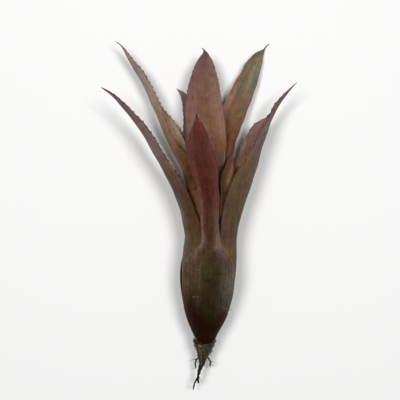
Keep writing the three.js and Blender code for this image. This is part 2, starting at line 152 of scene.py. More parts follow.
# Each leaf: paint slot, layer from outside, azimuth of its midline, half width of its sheath
# in degrees against height, and its blade as a midline with x, y, z, half width, half fold in
# degrees and the direction it faces
LEAVES = {
    "front_leaf": dict(
        slot="maroon_leaf", layer=0, azimuth=0,
        sheath=[[-42, 90], [-20, 84], [-8, 72], [3, 63], [9, 58], [15.5, 48], [19, 38.5],
                [22, 28.5], [25, 19.8]],
        blade=[[0.6, 36.6, 37.2, 5.6, 27, 0], [0.5, 46.7, 39.5, 6.2, 38, 0],
               [-0.4, 56.6, 42.0, 7.2, 48, 0], [-2.4, 67.0, 44.0, 9.0, 52, 0],
               [-4.8, 76.8, 45.0, 8.9, 50, 0], [-5.7, 84.3, 45.0, 6.9, 45, 0],
               [-6.2, 90.7, 44.5, 4.6, 38, 0], [-6.7, 96.0, 43.8, 1.7, 30, 0],
               [-7.0, 98.1, 43.4, 0.5, 25, 0], [-7.1, 99.8, 43.2, 0.2, 20, 0]]),
    "left_leaf": dict(
        slot="mauve_leaf", layer=1, azimuth=85,
        sheath=[[-42, 72], [-10, 68], [25, 67]],
        blade=[[-15.9, 36.1, 20.0, 17.5, 66, 84], [-18.3, 46.5, 21.5, 14.5, 62, 82],
               [-21.7, 55.7, 22.9, 12, 62, 78], [-26.4, 64.8, 24.0, 10.5, 60, 78],
               [-32.2, 75.7, 25.5, 9.5, 56, 80], [-40.1, 89.5, 27.0, 8.7, 52, 80],
               [-49.1, 102.0, 28.0, 5.9, 43, 82], [-56.0, 110.1, 28.5, 3.6, 38, 82],
               [-61.1, 114.6, 28.6, 1.6, 32, 82], [-63.5, 116.4, 28.5, 0.7, 30, 82],
               [-64.7, 117.3, 28.4, 0.2, 20, 82]]),
    "upper_left_leaf": dict(
        slot="bronze_leaf", layer=2, azimuth=98,
        sheath=[[-42, 70], [-10, 68], [25, 68]],
        blade=[[-12.9, 35.9, 16.9, 16.7, 71, 94], [-12.6, 46.5, 17.0, 15.2, 74, 90],
               [-13.5, 57.1, 16.2, 14.2, 77, 89], [-16.7, 68.3, 14.9, 13.5, 83, 94],
               [-18.7, 72.5, 13.9, 12.8, 83.5, 99.5], [-20.7, 76.5, 12.9, 12.1, 82.5, 105.5],
               [-24.7, 85.9, 11.8, 11.6, 81, 110], [-29.5, 96.0, 11.2, 11.5, 74, 105],
               [-34.0, 106.1, 10.9, 10.1, 64.5, 93.5],
               [-38.1, 115.5, 10.5, 8.9, 60, 88], [-42.8, 125.0, 10.5, 8.0, 58, 86],
               [-47.1, 132.1, 10.8, 6.6, 55, 86], [-50.9, 139.2, 11.2, 4.2, 48, 88],
               [-53.6, 144.3, 11.6, 2.1, 38, 90], [-55.2, 146.5, 11.8, 1.2, 30, 90],
               [-58.3, 148.8, 12.0, 0.4, 20, 90]]),
    "right_leaf": dict(
        slot="brown_leaf", layer=1, azimuth=-95,
        sheath=[[-42, 76], [-10, 75], [25, 74]],
        blade=[[19.8, 38.5, 19.1, 20.5, 76, -90], [23.1, 48.4, 19.5, 20.9, 81.5, -89.5],
               [26.1, 57.6, 19.2, 20.0, 84.5, -92.5], [28.7, 66.3, 17.7, 17.7, 88.5, -101.5],
               [30.9, 74.3, 17.4, 15.7, 97.5, -106.5], [33.1, 84.2, 17.6, 12.9, 94.5, -115.5],
               [35.7, 92.1, 18.5, 10.2, 86, -114.5], [39.2, 99.1, 19.4, 5.3, 69, -97],
               [42.6, 105.8, 20.0, 4.9, 58, -82], [46.9, 112.2, 20.3, 3.5, 54, -82],
               [50.4, 117.1, 20.4, 1.6, 42, -84], [52.9, 120.0, 20.4, 0.7, 30, -84],
               [54.4, 121.7, 20.4, 0.2, 20, -84]]),
    "right_back_leaf": dict(
        slot="olive_leaf", layer=2, azimuth=-106,
        sheath=[[-42, 70], [-10, 70], [25, 72]],
        blade=[[15.8, 35.8, 15.7, 18.9, 78, -100], [15.8, 46.5, 16.0, 17.8, 79, -98],
               [16.0, 57.1, 16.2, 16.6, 81, -97], [16.1, 62.0, 16.2, 16.1, 82, -97],
               [15.8, 66.0, 15.0, 14.4, 76.5, -104.5], [14.6, 69.5, 12.9, 12.3, 66, -118],
               [13.2, 73.0, 11.4, 10.8, 58, -130], [11.9, 80.4, 10.3, 10.2, 55, -146],
               [11.5, 88.7, 9.0, 9.9, 53, -163], [13.1, 97.7, 7.5, 9.6, 51, -178],
               [16.7, 108.0, 6.0, 9, 50, -188], [20.8, 117.7, 4.9, 8.3, 49, -191],
               [25.1, 126.7, 3.9, 7.2, 47, -192], [28.7, 135.2, 3.0, 5.5, 44, -192],
               [31.9, 141.1, 2.2, 3.7, 40, -192], [34.7, 144.6, 1.3, 1.4, 34, -192],
               [36.1, 146.3, 0.7, 0.5, 25, -190], [37.6, 148.5, 0.3, 0.35, 20, -190],
               [39.3, 149.9, 0.05, 0.2, 20, -185]]),
    "tall_back_leaf": dict(
        slot="copper_leaf", layer=3, azimuth=180,
        sheath=[[-42, 90], [-10, 84], [25, 78]],
        blade=[[0.8, 35.6, 6.2, 15, 66, 180], [-0.3, 48.3, 8.0, 10.6, 56, 180],
               [-1.3, 62.2, 10.2, 11.7, 51, 180], [-1.8, 74.6, 11.8, 13.6, 48, 180],
               [-1.6, 85.8, 13.0, 14, 45, 180], [-2.0, 99.4, 14.0, 13.2, 43, 180],
               [-2.7, 113.7, 14.6, 11.6, 42, 180], [-2.6, 124.2, 15.0, 9.4, 40, 180],
               [-2.1, 132.2, 15.3, 6.6, 38, 180], [-1.9, 137.7, 15.6, 3.9, 34, 180],
               [-2.0, 140.7, 16.0, 1.7, 26, 180], [-2.5, 142.1, 16.4, 0.6, 20, 180],
               [-4.0, 143.7, 17.0, 0.2, 20, 180]]),
    "short_back_leaf": dict(
        slot="pink_leaf", layer=0, azimuth=170,
        sheath=[[-42, 72], [-25, 78], [0, 80], [10, 66], [18, 46], [25, 31]],
        blade=[[-2.9, 35.5, 1.6, 9.0, 31, 170], [-3.9, 46.4, 1.7, 9.0, 33, 170],
               [-5.4, 59.2, 1.9, 8.9, 35, 172], [-7.0, 72.0, 2.1, 8.5, 37, 174],
               [-8.3, 84.8, 2.2, 7.8, 37, 176], [-9.8, 97.6, 2.1, 6.6, 36, 178],
               [-11.5, 107.9, 1.8, 4.8, 33, 178], [-14.6, 115.0, 1.3, 2.7, 30, 178],
               [-17.6, 118.9, 0.6, 1.0, 25, 178], [-18.9, 120.1, 0.3, 0.45, 20, 178],
               [-20.0, 121.1, 0.05, 0.2, 20, 178]]),
    "heart_leaf": dict(
        slot="young_leaf", layer=5, azimuth=20,
        sheath=[[-42, 100], [0, 110], [25, 60]],
        blade=[[0.0, 30.0, 28.0, 8.5, 50, 20], [1.0, 36.0, 27.0, 5.4, 42, 20],
               [1.6, 41.0, 26.2, 2.4, 34, 20], [1.9, 43.6, 25.8, 0.6, 25, 20],
               [2.1, 45.4, 25.6, 0.2, 20, 20]]),
}

# Dry scales: azimuth, half width, foot and top heights, torn depth, seed
SCALES = {
    "scale_left": (48, 46, -46.2, -35.5, 3.2, 3),
    "scale_right": (-62, 50, -45.6, -36.5, 2.8, 8),
    "scale_under": (165, 52, -46.0, -37.5, 2.6, 5),
}

# Roots: (height, sideways, frontways) points along each, and radius at its foot and tip
ROOTS = [
    ([[-48.6, 0.2, 0.1], [-53, -1.4, 0.4], [-60, -2.6, -0.6], [-67, -2.2, -2.2]], 1.0, 0.62),
    ([[-48.2, -0.6, 0.3], [-55, -1.0, 2.2], [-61, -2.8, 2.2], [-66, -4.6, 0.8],
      [-71, -5.2, -1.2]], 0.75, 0.42),
    ([[-47.6, -0.9, -0.5], [-52, -4.6, -1.6], [-58, -4.4, -3.6]], 0.6, 0.4),
    ([[-47.8, 1.0, -0.2], [-51.5, 4.2, -1.6], [-56.5, 4.6, -4.2]], 0.6, 0.4),
    ([[-47.4, 0.3, -1.0], [-52, 1.2, -4.0], [-57, 0.4, -6.4]], 0.6, 0.4),
]

# Loose strands at the foot: step, then height, sideways and frontways (twice for the bits)
PALE_STRAND = [[0, -38.6, -3.6, 5.6], [1, -41.2, -3.1, 5.2], [2, -44.6, -2.2, 4.6],
               [3, -48.2, -1.35, 3.7], [4, -51.8, -1.15, 2.9], [5, -55.0, -1.35, 1.9],
               [6, -57.0, -1.7, 1.2]]
EDGE_STRAND = [[0, -36.2, 6.9, 3.4], [1, -39.4, 5.6, 3.0], [2, -43.8, 4.0, 2.6],
               [3, -49.2, 1.9, 1.8], [4, -54.6, 0.2, 1.0]]
PALE_BITS = [[0, -39.6, -3.8, 5.6, -40.3, -6.6, 3.6], [1, -40.2, -2.6, 6.3, -41.3, -5.6, 4.5],
             [2, -41.0, -1.5, 6.1, -42.5, -4.7, 4.6]]

# Dry threads along the outermost sheath's lower margins: step, height and azimuth, twice
MARGIN_THREADS = [[0, -17.0, 77, -19.5, -76], [1, -23.0, 72, -25.0, -69],
                  [2, -29.0, 65, -30.0, -60], [3, -35.5, 54, -34.5, -61],
                  [4, -40.5, 33, -38.5, -68]]

# A hair on the urn: height and azimuth at its foot, and how far each runs on
HAIR_HEIGHT = (-14.5, -2.4)
HAIR_AZIMUTH = (-41.4, -33.6)

# Loose fibres: highest start and spread of the curls, of the strands and of the strands' ends
CURLS_FROM = (-36.8, -8.5)
STRANDS_FROM = (-39.5, -3.0)
STRANDS_TO = (-52.5, -4.5)

# Rootlets: how many, and their radius at the foot
HAIRS = 26
HAIR_RADIUS = 0.14

# Seeds of the draws
CURL_SEED = 11
STRAND_SEED = 17
HAIR_SEED = 23

# How far above its first point a root starts inside the stem
ROOT_INSIDE = 2.5

# Rings along a tube and sides round it
STEM_MESH = (90, 40)
ROOT_MESH = (70, 12)
FIBRE_MESH = (10, 4)
STRAND_MESH = (24, 6)
HAIR_MESH = (10, 5)

# Paint of each leaf. outer and inner hold, for the margin at the low azimuth, the middle and
# the margin at the high azimuth, stops of (place along the leaf from -1 at its foot through
# 0 at the mouth of the urn to 1 at its tip, tint, strength). marks are soft patches:
# (along, across, half length, half width, tint, strength, outer 0 or inner 1). rim is the
# worn edge: its tints on the urn and on the blade, strength and half width in millimetres.
# edge is where each margin's stops fade in across the leaf, grain scales veins and grain,
# teeth the spines, and smooth_side those at the high azimuth once more.
# Strengths well above 1 on the inner faces, from about 0.3 to 0.5 along where the blades leave the urn,
# are painted light that lifts the shade deep in the funnel.
PAINT = {
    "front_leaf": dict(
        # On the urn the outer face darkens to black-red toward its foot: dark red deepened by painted
        # shade. Its sides are lighter than its middle: grey scurf with painted light and painted sheen.
        outer=(
            [(-1, "soot", 1.1), (-0.85, "wine_shade", 2.2), (-0.74, "wine_shade", 2.4), (-0.62, "ash_sheen", 0.6),
             (-0.48, "ash_sheen", 0.95), (-0.33, "ash_sheen", 1.1), (-0.2, "dusk", 0.9), (-0.12, "dusk", 0.85),
             (0.0, "dusk", 1.15), (0.22, "dusk", 1.05), (0.36, "plum", 1.0), (0.6, "plum", 1.05),
             (0.82, "plum", 1.0), (1, "plum", 1.1)],
            [(-1, "soot", 1.0), (-0.84, "soot", 1.0), (-0.7, "bark", 0.66), (-0.55, "bark", 0.75),
             (-0.4, "bark", 0.86), (-0.24, "bark", 1.15), (-0.1, "umber", 0.62), (0.0, "umber", 0.68),
             (0.08, "maroon", 0.88), (0.45, "maroon", 1.0), (0.7, "maroon", 1.0),
             (0.87, "maroon", 1.15), (1, "plum", 1.0)],
            [(-1, "soot", 0.9), (-0.87, "wine_shade", 1.3), (-0.74, "wine_shade", 1.5), (-0.64, "maroon", 0.6),
             (-0.54, "umber", 0.75), (-0.42, "drab", 0.9), (-0.28, "clay", 0.8),
             (-0.14, "dusk", 0.95), (0.1, "dusk", 1.15), (0.28, "dusk", 0.95), (0.45, "plum", 1.15),
             (0.75, "plum", 1.05), (1, "plum", 1.1)]),
        # The dark red patches low on the urn are partly painted shade.
        marks=[(0.1, -0.62, 0.17, 0.2, "dusk", 0.7, 0), (-0.7, 0.42, 0.1, 0.24, "wine_shade", 0.92, 0),
               (-0.78, -0.5, 0.06, 0.2, "wine_shade", 0.5, 0), (-0.3, 0.33, 0.22, 0.13, "drab", 0.5, 0),
               (-0.79, 0.22, 0.08, 0.22, "wine_shade", 0.8, 0), (-0.86, -0.1, 0.05, 0.4, "wine_shade", 0.5, 0),
               (-0.56, 0.3, 0.06, 0.12, "umber", 0.3, 0), (-0.03, -0.6, 0.05, 0.3, "grey", 0.35, 0),
               (-0.354, 0.02, 0.016, 0.09, "soot", 0.8, 0), (-0.28, -0.33, 0.014, 0.13, "soot", 0.8, 0),
               (-0.53, 0.43, 0.006, 0.035, "grey", 0.6, 0),
               (-0.523, 0.28, 0.005, 0.03, "grey", 0.5, 0), (0.14, 0.0, 0.18, 0.6, "umber", 0.45, 0),
               (-0.055, -0.32, 0.025, 0.12, "grey", 0.2, 0)],
        rim=("straw", "plum", 0.55, 0.35),
        edge=(-0.15, -0.95, 0.3, 0.85), grain=1.9),
    "left_leaf": dict(
        outer=(
            [(-1, "umber", 0.7), (-0.4, "drab", 0.9), (-0.1, "drab", 0.9), (-0.03, "drab", 0.78),
             (0.05, "umber", 1.1), (0.14, "umber", 1.0), (0.22, "umber", 1.0), (0.28, "clay", 0.66),
             (0.37, "clay", 0.84), (0.44, "clay", 1.15),
             (0.52, "mauve", 1.02), (0.66, "mauve", 1.06), (0.85, "mauve", 1.0), (1, "mauve", 0.9)],
            [(-1, "umber", 0.7), (-0.5, "drab", 0.8), (-0.2, "olive", 0.75), (0.0, "ash_sheen", 1.05),
             (0.08, "drab", 1.15), (0.15, "ash_sheen", 1.2), (0.2, "ash_sheen", 1.1), (0.27, "clay", 0.95),
             (0.37, "dusk", 1.15), (0.5, "grey", 0.82),
             (0.6, "grey", 0.9), (0.75, "mauve", 0.97), (1, "mauve", 0.9)],
            [(-1, "umber", 0.7), (-0.2, "drab", 0.8), (0.3, "drab", 0.9), (0.7, "mauve", 0.9),
             (1, "mauve", 0.9)]),
        marks=[(0.0, -0.58, 0.045, 0.17, "umber", 0.55, 0), (0.33, -0.75, 0.05, 0.25, "plum", 0.3, 0),
               (0.2, -0.55, 0.06, 0.2, "plum", 0.2, 0)],
        rim=("maroon", "maroon", 0.55, 0.4)),
    "upper_left_leaf": dict(
        # From 0.14 to 0.38 along, strengths above 1 are painted light that lifts the shade in the gap
        # beside the outermost leaf's neck.
        outer=(
            [(-1, "umber", 0.6), (-0.1, "rust", 0.7), (0.14, "rust", 1.2), (0.2, "rust", 1.35),
             (0.235, "rust", 1.0), (0.27, "rust", 0.58), (0.3, "rust", 0.66), (0.335, "rust", 0.95),
             (0.37, "clay", 1.35), (0.45, "copper", 1.15), (0.52, "sand", 0.98),
             (0.6, "sand", 1.2), (0.7, "grey", 1.25), (0.9, "grey", 1.3), (1, "grey", 0.9)],
            [(-1, "umber", 0.6), (-0.1, "rust", 0.7), (0.14, "rust", 1.3), (0.21, "rust", 1.8),
             (0.24, "rust", 1.5), (0.27, "rust", 1.0), (0.33, "rust", 2.1), (0.38, "clay", 2.0),
             (0.45, "copper", 1.2), (0.58, "sand", 1.4), (0.67, "grey", 1.5),
             (0.9, "grey", 1.35), (1, "grey", 0.9)],
            [(-1, "umber", 0.6), (0.3, "drab", 1.0), (0.6, "grey", 0.9), (1, "grey", 0.95)]),
        # Raised from 0.3 to 0.5 along: painted light in the funnel's shade.
        inner=(
            [(-1, "umber", 0.6), (0.3, "copper", 1.4), (0.5, "straw", 0.72), (0.7, "straw", 0.7),
             (1, "grey", 1.0)],
            [(-1, "umber", 0.6), (0.3, "copper", 1.9), (0.39, "copper", 2.6), (0.45, "straw", 1.25),
             (0.5, "straw", 0.95), (0.55, "straw", 0.78),
             (0.7, "straw", 0.72), (1, "grey", 1.0)],
            [(-1, "umber", 0.6), (0.3, "copper", 1.9), (0.39, "copper", 2.6), (0.44, "straw", 1.5),
             (0.49, "straw", 1.12), (0.52, "straw", 0.84), (0.62, "straw", 0.76), (1, "grey", 1.0)]),
        # A black streak near the low margin: painted shadow in the gap beside the outermost leaf's neck.
        marks=[(0.221, -0.74, 0.012, 0.12, "soot", 0.6, 0)],
        rim=("umber", "umber", 0.5, 0.3)),
    "right_leaf": dict(
        outer=(
            [(-1, "umber", 0.7), (-0.2, "drab", 0.8), (0.3, "drab", 1.0), (0.7, "grey", 0.85),
             (1, "mauve", 0.95)],
            [(-1, "umber", 0.7), (-0.5, "drab", 0.7), (-0.12, "drab", 1.0), (0.0, "drab", 1.18),
             (0.14, "drab", 1.12), (0.25, "drab", 1.2), (0.36, "dusk", 1.15), (0.5, "grey", 0.8),
             (0.64, "grey", 0.9), (0.82, "mauve", 0.98), (1, "mauve", 0.95)],
            [(-1, "umber", 0.7), (-0.3, "clay", 0.8), (-0.07, "drab", 1.1), (0.06, "clay", 0.66),
             (0.18, "drab", 0.78), (0.35, "drab", 0.88), (0.44, "drab", 1.04), (0.52, "dusk", 1.08),
             (0.6, "mauve", 0.9), (0.68, "grey", 0.78), (0.78, "mauve", 0.82), (1, "mauve", 0.95)]),
        # Raised from 0.3 to 0.5 along: painted light in the funnel's shade.
        inner=(
            [(-1, "umber", 0.7), (0.3, "copper", 1.7), (0.42, "copper", 1.65), (0.51, "clay", 1.62),
             (0.62, "rose", 0.83), (0.7, "rose", 0.9), (1, "mauve", 1.0)],
            [(-1, "umber", 0.7), (0.3, "copper", 1.7), (0.42, "copper", 1.6), (0.52, "clay", 1.62),
             (0.62, "rose", 0.85), (0.7, "rose", 0.95), (1, "mauve", 1.0)],
            [(-1, "umber", 0.7), (0.3, "copper", 1.8), (0.44, "clay", 1.7), (0.52, "mauve", 1.3),
             (0.7, "rose", 0.95), (1, "mauve", 1.0)]),
        marks=[(0.4, 0.45, 0.06, 0.2, "moss", 0.22, 0), (0.3, 0.7, 0.05, 0.2, "rust", 0.25, 0),
               # Painted shadow: the dark red spot on the margin stands for the gap to the right-back
               # leaf.
               (0.194, 0.97, 0.014, 0.08, "wine_shade", 0.6, 0),
               (0.255, 1.0, 0.035, 0.12, "umber", 0.6, 0)],
        rim=("umber", "umber", 0.6, 0.35), grain=1.35, teeth=0.7),
    "right_back_leaf": dict(
        # From about 0.1 to 0.37 along, strengths well above 1 are painted light that lifts the shade in
        # the slot between the outermost and right leaves.
        outer=(
            [(-1, "umber", 0.6), (0.1, "rust", 0.9), (0.5, "drab", 1.2), (1, "olive", 0.9)],
            [(-1, "umber", 0.6), (0.1, "rust", 1.2), (0.22, "tan", 1.85), (0.34, "tan", 1.95),
             (0.5, "drab", 1.3), (1, "olive", 0.9)],
            [(-1, "umber", 0.6), (0.12, "rust", 1.5), (0.22, "umber", 1.3), (0.29, "umber", 1.05),
             (0.37, "clay", 1.2), (0.6, "drab", 1.3), (1, "olive", 0.9)]),
        # Raised from 0.3 to 0.5 along: painted light in the funnel's shade.
        inner=(
            [(-1, "umber", 0.6), (0.3, "rust", 1.2), (0.5, "rust", 1.3), (0.6, "sand", 1.25),
             (0.69, "sand", 1.4), (0.75, "sand", 1.2), (0.86, "olive", 1.05), (1, "olive", 1.0)],
            [(-1, "umber", 0.6), (0.3, "rust", 1.25), (0.4, "rust", 1.6), (0.47, "rust", 1.1),
             (0.55, "copper", 0.74), (0.62, "tan", 0.95), (0.69, "drab", 1.48), (0.77, "olive", 1.05),
             (0.9, "olive", 1.1), (1, "olive", 1.0)],
            [(-1, "umber", 0.6), (0.3, "rust", 1.25), (0.4, "rust", 1.55), (0.47, "rust", 1.25),
             (0.55, "clay", 1.2), (0.62, "clay", 1.32), (0.7, "dusk", 1.52), (0.77, "olive", 1.08),
             (0.88, "moss", 0.93), (1, "olive", 1.05)]),
        # The dark red spot at 0.221 along is painted shadow in the gap to the right leaf, and the pale
        # spot at 0.262 a painted glint.
        marks=[(0.84, 0.3, 0.1, 0.13, "moss", 0.85, 1), (0.8, -0.25, 0.12, 0.12, "drab", 0.5, 1),
               (0.94, 0.62, 0.09, 0.1, "grey", 0.75, 1), (0.83, 0.2, 0.07, 0.07, "grey", 0.6, 1),
               (0.71, -0.8, 0.05, 0.1, "sand", 0.7, 1), (0.221, 0.91, 0.01, 0.06, "wine_shade", 0.7, 0),
               (0.262, 0.69, 0.01, 0.06, "straw", 0.5, 0)],
        rim=("clay", "clay", 0.5, 0.25), edge=(-0.15, -0.8, 0.5, 0.9), grain=0.8, teeth=0.6,
        smooth_side=0.25),
    "tall_back_leaf": dict(
        outer=(
            [(-1, "umber", 0.6), (0.2, "umber", 1.0), (0.6, "mauve", 0.8), (1, "mauve", 0.9)],
            [(-1, "umber", 0.6), (0.2, "umber", 1.0), (0.6, "clay", 1.2), (1, "mauve", 0.9)],
            [(-1, "umber", 0.6), (0.2, "umber", 1.0), (0.6, "mauve", 0.8), (1, "mauve", 0.9)]),
        # Raised from 0.3 to 0.5 along: painted light in the funnel's shade.
        inner=(
            [(-1, "umber", 0.6), (0.3, "copper", 1.6), (0.5, "copper", 1.2), (0.6, "dusk", 1.7),
             (0.69, "rose", 0.82), (0.77, "rose", 0.82), (0.88, "rose", 0.72), (1, "mauve", 0.8)],
            [(-1, "umber", 0.6), (0.3, "copper", 1.5), (0.45, "copper", 1.3), (0.54, "copper", 0.98),
             (0.62, "copper", 0.8), (0.7, "copper", 0.77), (0.78, "clay", 1.14), (0.87, "clay", 1.12),
             (0.95, "dusk", 1.1), (1, "plum", 1.0)],
            [(-1, "umber", 0.6), (0.3, "copper", 1.5), (0.42, "copper", 1.35), (0.49, "copper", 1.12),
             (0.55, "clay", 2.0), (0.63, "sand", 1.02), (0.7, "sand", 0.96), (0.85, "sand", 0.9),
             (0.94, "dusk", 1.5), (1, "plum", 1.1)]),
        marks=[(0.62, 0.5, 0.05, 0.2, "tan", 0.25, 1), (0.743, -0.64, 0.006, 0.045, "bark", 0.75, 1)],
        rim=("plum", "plum", 0.3, 0.25), teeth=0.45, grain=0.7),
    "short_back_leaf": dict(
        outer=(
            # On the urn its low margin is painted lighter than its grey: painted light that lifts the
            # shade on that upright side.
            [(-1, "umber", 1.0), (-0.6, "ash_sheen", 1.3), (-0.3, "ash_sheen", 1.5), (0, "drab", 1.4),
             (0.5, "mauve", 0.9), (1, "mauve", 1.0)],
            [(-1, "umber", 0.7), (-0.4, "drab", 0.9), (0, "drab", 1.0), (0.5, "clay", 1.1),
             (1, "mauve", 1.0)],
            [(-1, "umber", 0.7), (-0.4, "drab", 0.9), (0, "drab", 1.0), (0.5, "mauve", 0.9),
             (1, "mauve", 1.0)]),
        inner=(
            [(-1, "umber", 0.6), (0.3, "clay", 1.1), (0.7, "mauve", 1.0), (1, "mauve", 1.25)],) * 3,
        marks=[],
        rim=("drab", "mauve", 0.3, 0.25), teeth=0.4),
    "heart_leaf": dict(
        outer=(
            [(-1, "umber", 0.6), (0, "olive", 0.8), (1, "olive", 0.9)],
            [(-1, "umber", 0.6), (0, "olive", 0.9), (1, "moss", 0.8)],
            [(-1, "umber", 0.6), (0, "olive", 0.8), (1, "olive", 0.9)]),
        marks=[],
        rim=("straw", "olive", 0.3, 0.2)),
}


# Settings


def srgb(r, g, b):
    """Linear colour of a display colour given in 0 to 255."""
    c = np.array([r, g, b]) / 255
    return tuple(np.where(c <= 0.04045, c / 12.92, ((c + 0.055) / 1.055) ** 2.4))


def shaded(tint, strength):
    """A colour made lighter or darker by a factor."""
    return tuple(np.array(tint) * strength)


def colour(name, about, r, g, b):
    """Colour setting shown with a swatch."""
    return FloatVectorProperty(name=name, description=about, subtype="COLOR", size=3, min=0,
                               max=1, default=srgb(r, g, b))


def distance(name, about, millimetres):
    """Length setting."""
    return FloatProperty(name=name, description=about, unit="LENGTH", default=millimetres * MM)


def fraction(name, about, value):
    """Setting between 0 and 1."""
    return FloatProperty(name=name, description=about, subtype="FACTOR", min=0, max=1,
                         default=value)


class NeoTints(bpy.types.PropertyGroup):
    """Tints that the leaves are painted with."""

    maroon: colour("Maroon", "Middle of the outermost leaf", 68, 32, 23)
    plum: colour("Plum", "Margins of the outermost leaf", 86, 49, 46)
    # Dark red low on the urn, deepened there as painted shade; its spots beside the right leaf are
    # painted shadow.
    wine_shade: colour("Wine", "Dark flush low on the urn", 30, 5, 5)
    dusk: colour("Dusk", "Sides of the outermost leaf's neck", 89, 69, 61)
    bark: colour("Bark", "Middle of the outermost sheath", 46, 38, 20)
    # Black-brown foot of the urn, partly painted shade; its streak on the upper left leaf is painted
    # shadow.
    soot: colour("Soot", "Foot of the urn", 28, 13, 4)
    # Grey scurf, partly painted sheen and painted light where it lightens the urn's sides.
    ash_sheen: colour("Ash", "Grey bloom on the urn's right side", 92, 84, 74)
    drab: colour("Drab", "Olive-brown sheaths", 85, 70, 51)
    umber: colour("Umber", "Dark brown leaf feet", 70, 48, 31)
    clay: colour("Clay", "Brown-red between urn and blade", 94, 69, 57)
    mauve: colour("Mauve", "Pink-grey margins and tips", 107, 86, 84)
    rust: colour("Rust", "Red-brown feet of the inner leaves", 104, 67, 46)
    copper: colour("Copper", "Middle of the tall leaf", 116, 83, 63)
    tan: colour("Tan", "Warm brown low on the inner leaves", 106, 79, 57)
    sand: colour("Sand", "Pale pinkish side of the tall leaf", 126, 98, 85)
    grey: colour("Grey", "Scurfy grey-brown leaf backs", 120, 106, 99)
    straw: colour("Straw", "Tan inner face and pale rims", 158, 135, 110)
    rose: colour("Rose", "Pink inner face of the right leaf", 130, 92, 89)
    olive: colour("Olive", "Right-hand back leaf", 103, 92, 71)
    moss: colour("Moss", "Pale green streaks", 116, 113, 92)
    spine: colour("Spine", "Tips of the margin spines", 39, 24, 22)


class NeoLeaves(bpy.types.PropertyGroup):
    """Sizes of the leaves' fine detail."""

    tooth_pitch: distance("Spine spacing", "Distance between margin spines", 3.8)
    tooth_length: distance("Spine length", "Reach of a margin spine", 0.65)
    wave: distance("Wave", "Rise and fall of the blade", 0.14)
    margin_wave: distance("Margin wave", "Rise and fall of the margins", 0.2)
    columns: IntProperty(name="Columns", description="Points across one face of a leaf",
                         default=29, min=9)
    roughness: fraction("Roughness", "Dullness of the leaf skin", 0.5)


class NeoFoot(bpy.types.PropertyGroup):
    """Scales, stem, roots and fibres."""

    fibres: IntProperty(name="Fibres", description="Loose curls round the foot", default=120)
    strands: IntProperty(name="Strands", description="Strands drawn together below the scales",
                         default=44)
    fibre_radius: distance("Fibre radius", "Radius of a fibre at its foot", 0.11)
    husk: colour("Husk", "Dry scales", 46, 34, 22)
    fibre: colour("Fibre", "Dry fibres", 104, 93, 76)
    root: colour("Root", "Wiry roots", 34, 25, 18)


class NeoStage(bpy.types.PropertyGroup):
    """Floor, light and camera."""

    floor: fraction("Floor brightness", "Share of light the floor returns", 0.715)
    sky: FloatProperty(name="Sky", description="Strength of the even light", default=0.12)
    lamp: FloatProperty(name="Lamps", description="Power of each soft lamp in watts", default=9.0)
    lamp_size: distance("Lamp size", "Width of each lamp", 400)
    lamp_apart: distance("Lamp offset", "Each lamp's distance to the side", 360)
    camera_height: distance("Camera height", "Camera above the floor", 446)
    view_width: distance("View width", "Width seen 430 mm from the camera", 248)


# Curves and surfaces


def smooth(rows, x):
    """Values and slopes at x of the smooth curve through rows of (place, values ...).

    Cubic pieces, whose slope at a row is that of the parabola through it and its neighbours.
    """
    rows = np.asarray(rows, float)
    xs, ys = rows[:, 0], rows[:, 1:]
    gap = np.diff(xs)[:, None]
    d = np.diff(ys, axis=0) / gap
    between = (d[1:] * gap[:-1] + d[:-1] * gap[1:]) / (gap[:-1] + gap[1:])
    m = np.concatenate([d[:1], between, d[-1:]])
    x = np.asarray(x, float)
    i = np.clip(np.searchsorted(xs, x, side="right") - 1, 0, len(xs) - 2)
    h = gap[i]
    t = np.clip((x - xs[i])[..., None] / h, 0, 1)
    t2, t3 = t * t, t * t * t
    a, b = ys[i], ys[i + 1]
    value = ((2 * t3 - 3 * t2 + 1) * a + (t3 - 2 * t2 + t) * h * m[i]
             + (3 * t2 - 2 * t3) * b + (t3 - t2) * h * m[i + 1])
    slope = (6 * t2 - 6 * t) * (a - b) / h + (3 * t2 - 4 * t + 1) * m[i] + (3 * t2 - 2 * t) * m[i + 1]
    return value, slope


def ease(x):
    """0 below 0, 1 above 1 and 3x squared less 2x cubed between."""
    x = np.clip(x, 0, 1)
    return x * x * (3 - 2 * x)


def unit(v):
    """Vectors scaled to length 1."""
    return v / np.linalg.norm(v, axis=-1, keepdims=True)


def outward(phi):
    """Direction away from the plant's axis at azimuth phi."""
    phi = np.asarray(phi, float)[..., None]
    return -np.sin(phi) * SIDE + np.cos(phi) * FRONT


def envelope(h, phi):
    """Outer radius of the urn: its round profile, or the distance to the floor where less,
    the two joined by a short curve."""
    h, phi = np.broadcast_arrays(np.asarray(h, float), np.asarray(phi, float))
    whole = smooth(URN, h)[0][..., 0]
    down = -np.cos(phi) * math.cos(PITCH)
    beyond = np.maximum(np.maximum(REST_FROM - h, h - REST_TO), 0)
    clear = CLEAR * (1 - np.exp(-beyond * beyond / CLEAR_REACH ** 2))
    floor = (AXIS_HEIGHT - clear + h * math.sin(PITCH)) / np.maximum(down, LEAST_DOWN)
    near = np.maximum(FLAT_BLEND - np.abs(whole - floor), 0)
    pressed = np.minimum(whole, floor) - near * near / (4 * FLAT_BLEND)
    return np.where(down < LEAST_DOWN, whole, pressed)


def urn_point(h, phi, depth):
    """Point on the urn: along the axis by h, out by the envelope less depth square to the wall."""
    h, phi, depth = np.broadcast_arrays(np.asarray(h, float), phi, depth)
    wall = np.hypot(1, smooth(URN, h)[1][..., 0])
    r = envelope(h, phi) - depth * wall
    return AXIS * h[..., None] + outward(phi) * r[..., None]


def thick(u):
    """Thickness of a leaf, thinner toward its margins."""
    return THICK_MIDDLE + (THICK_MARGIN - THICK_MIDDLE) * u * u


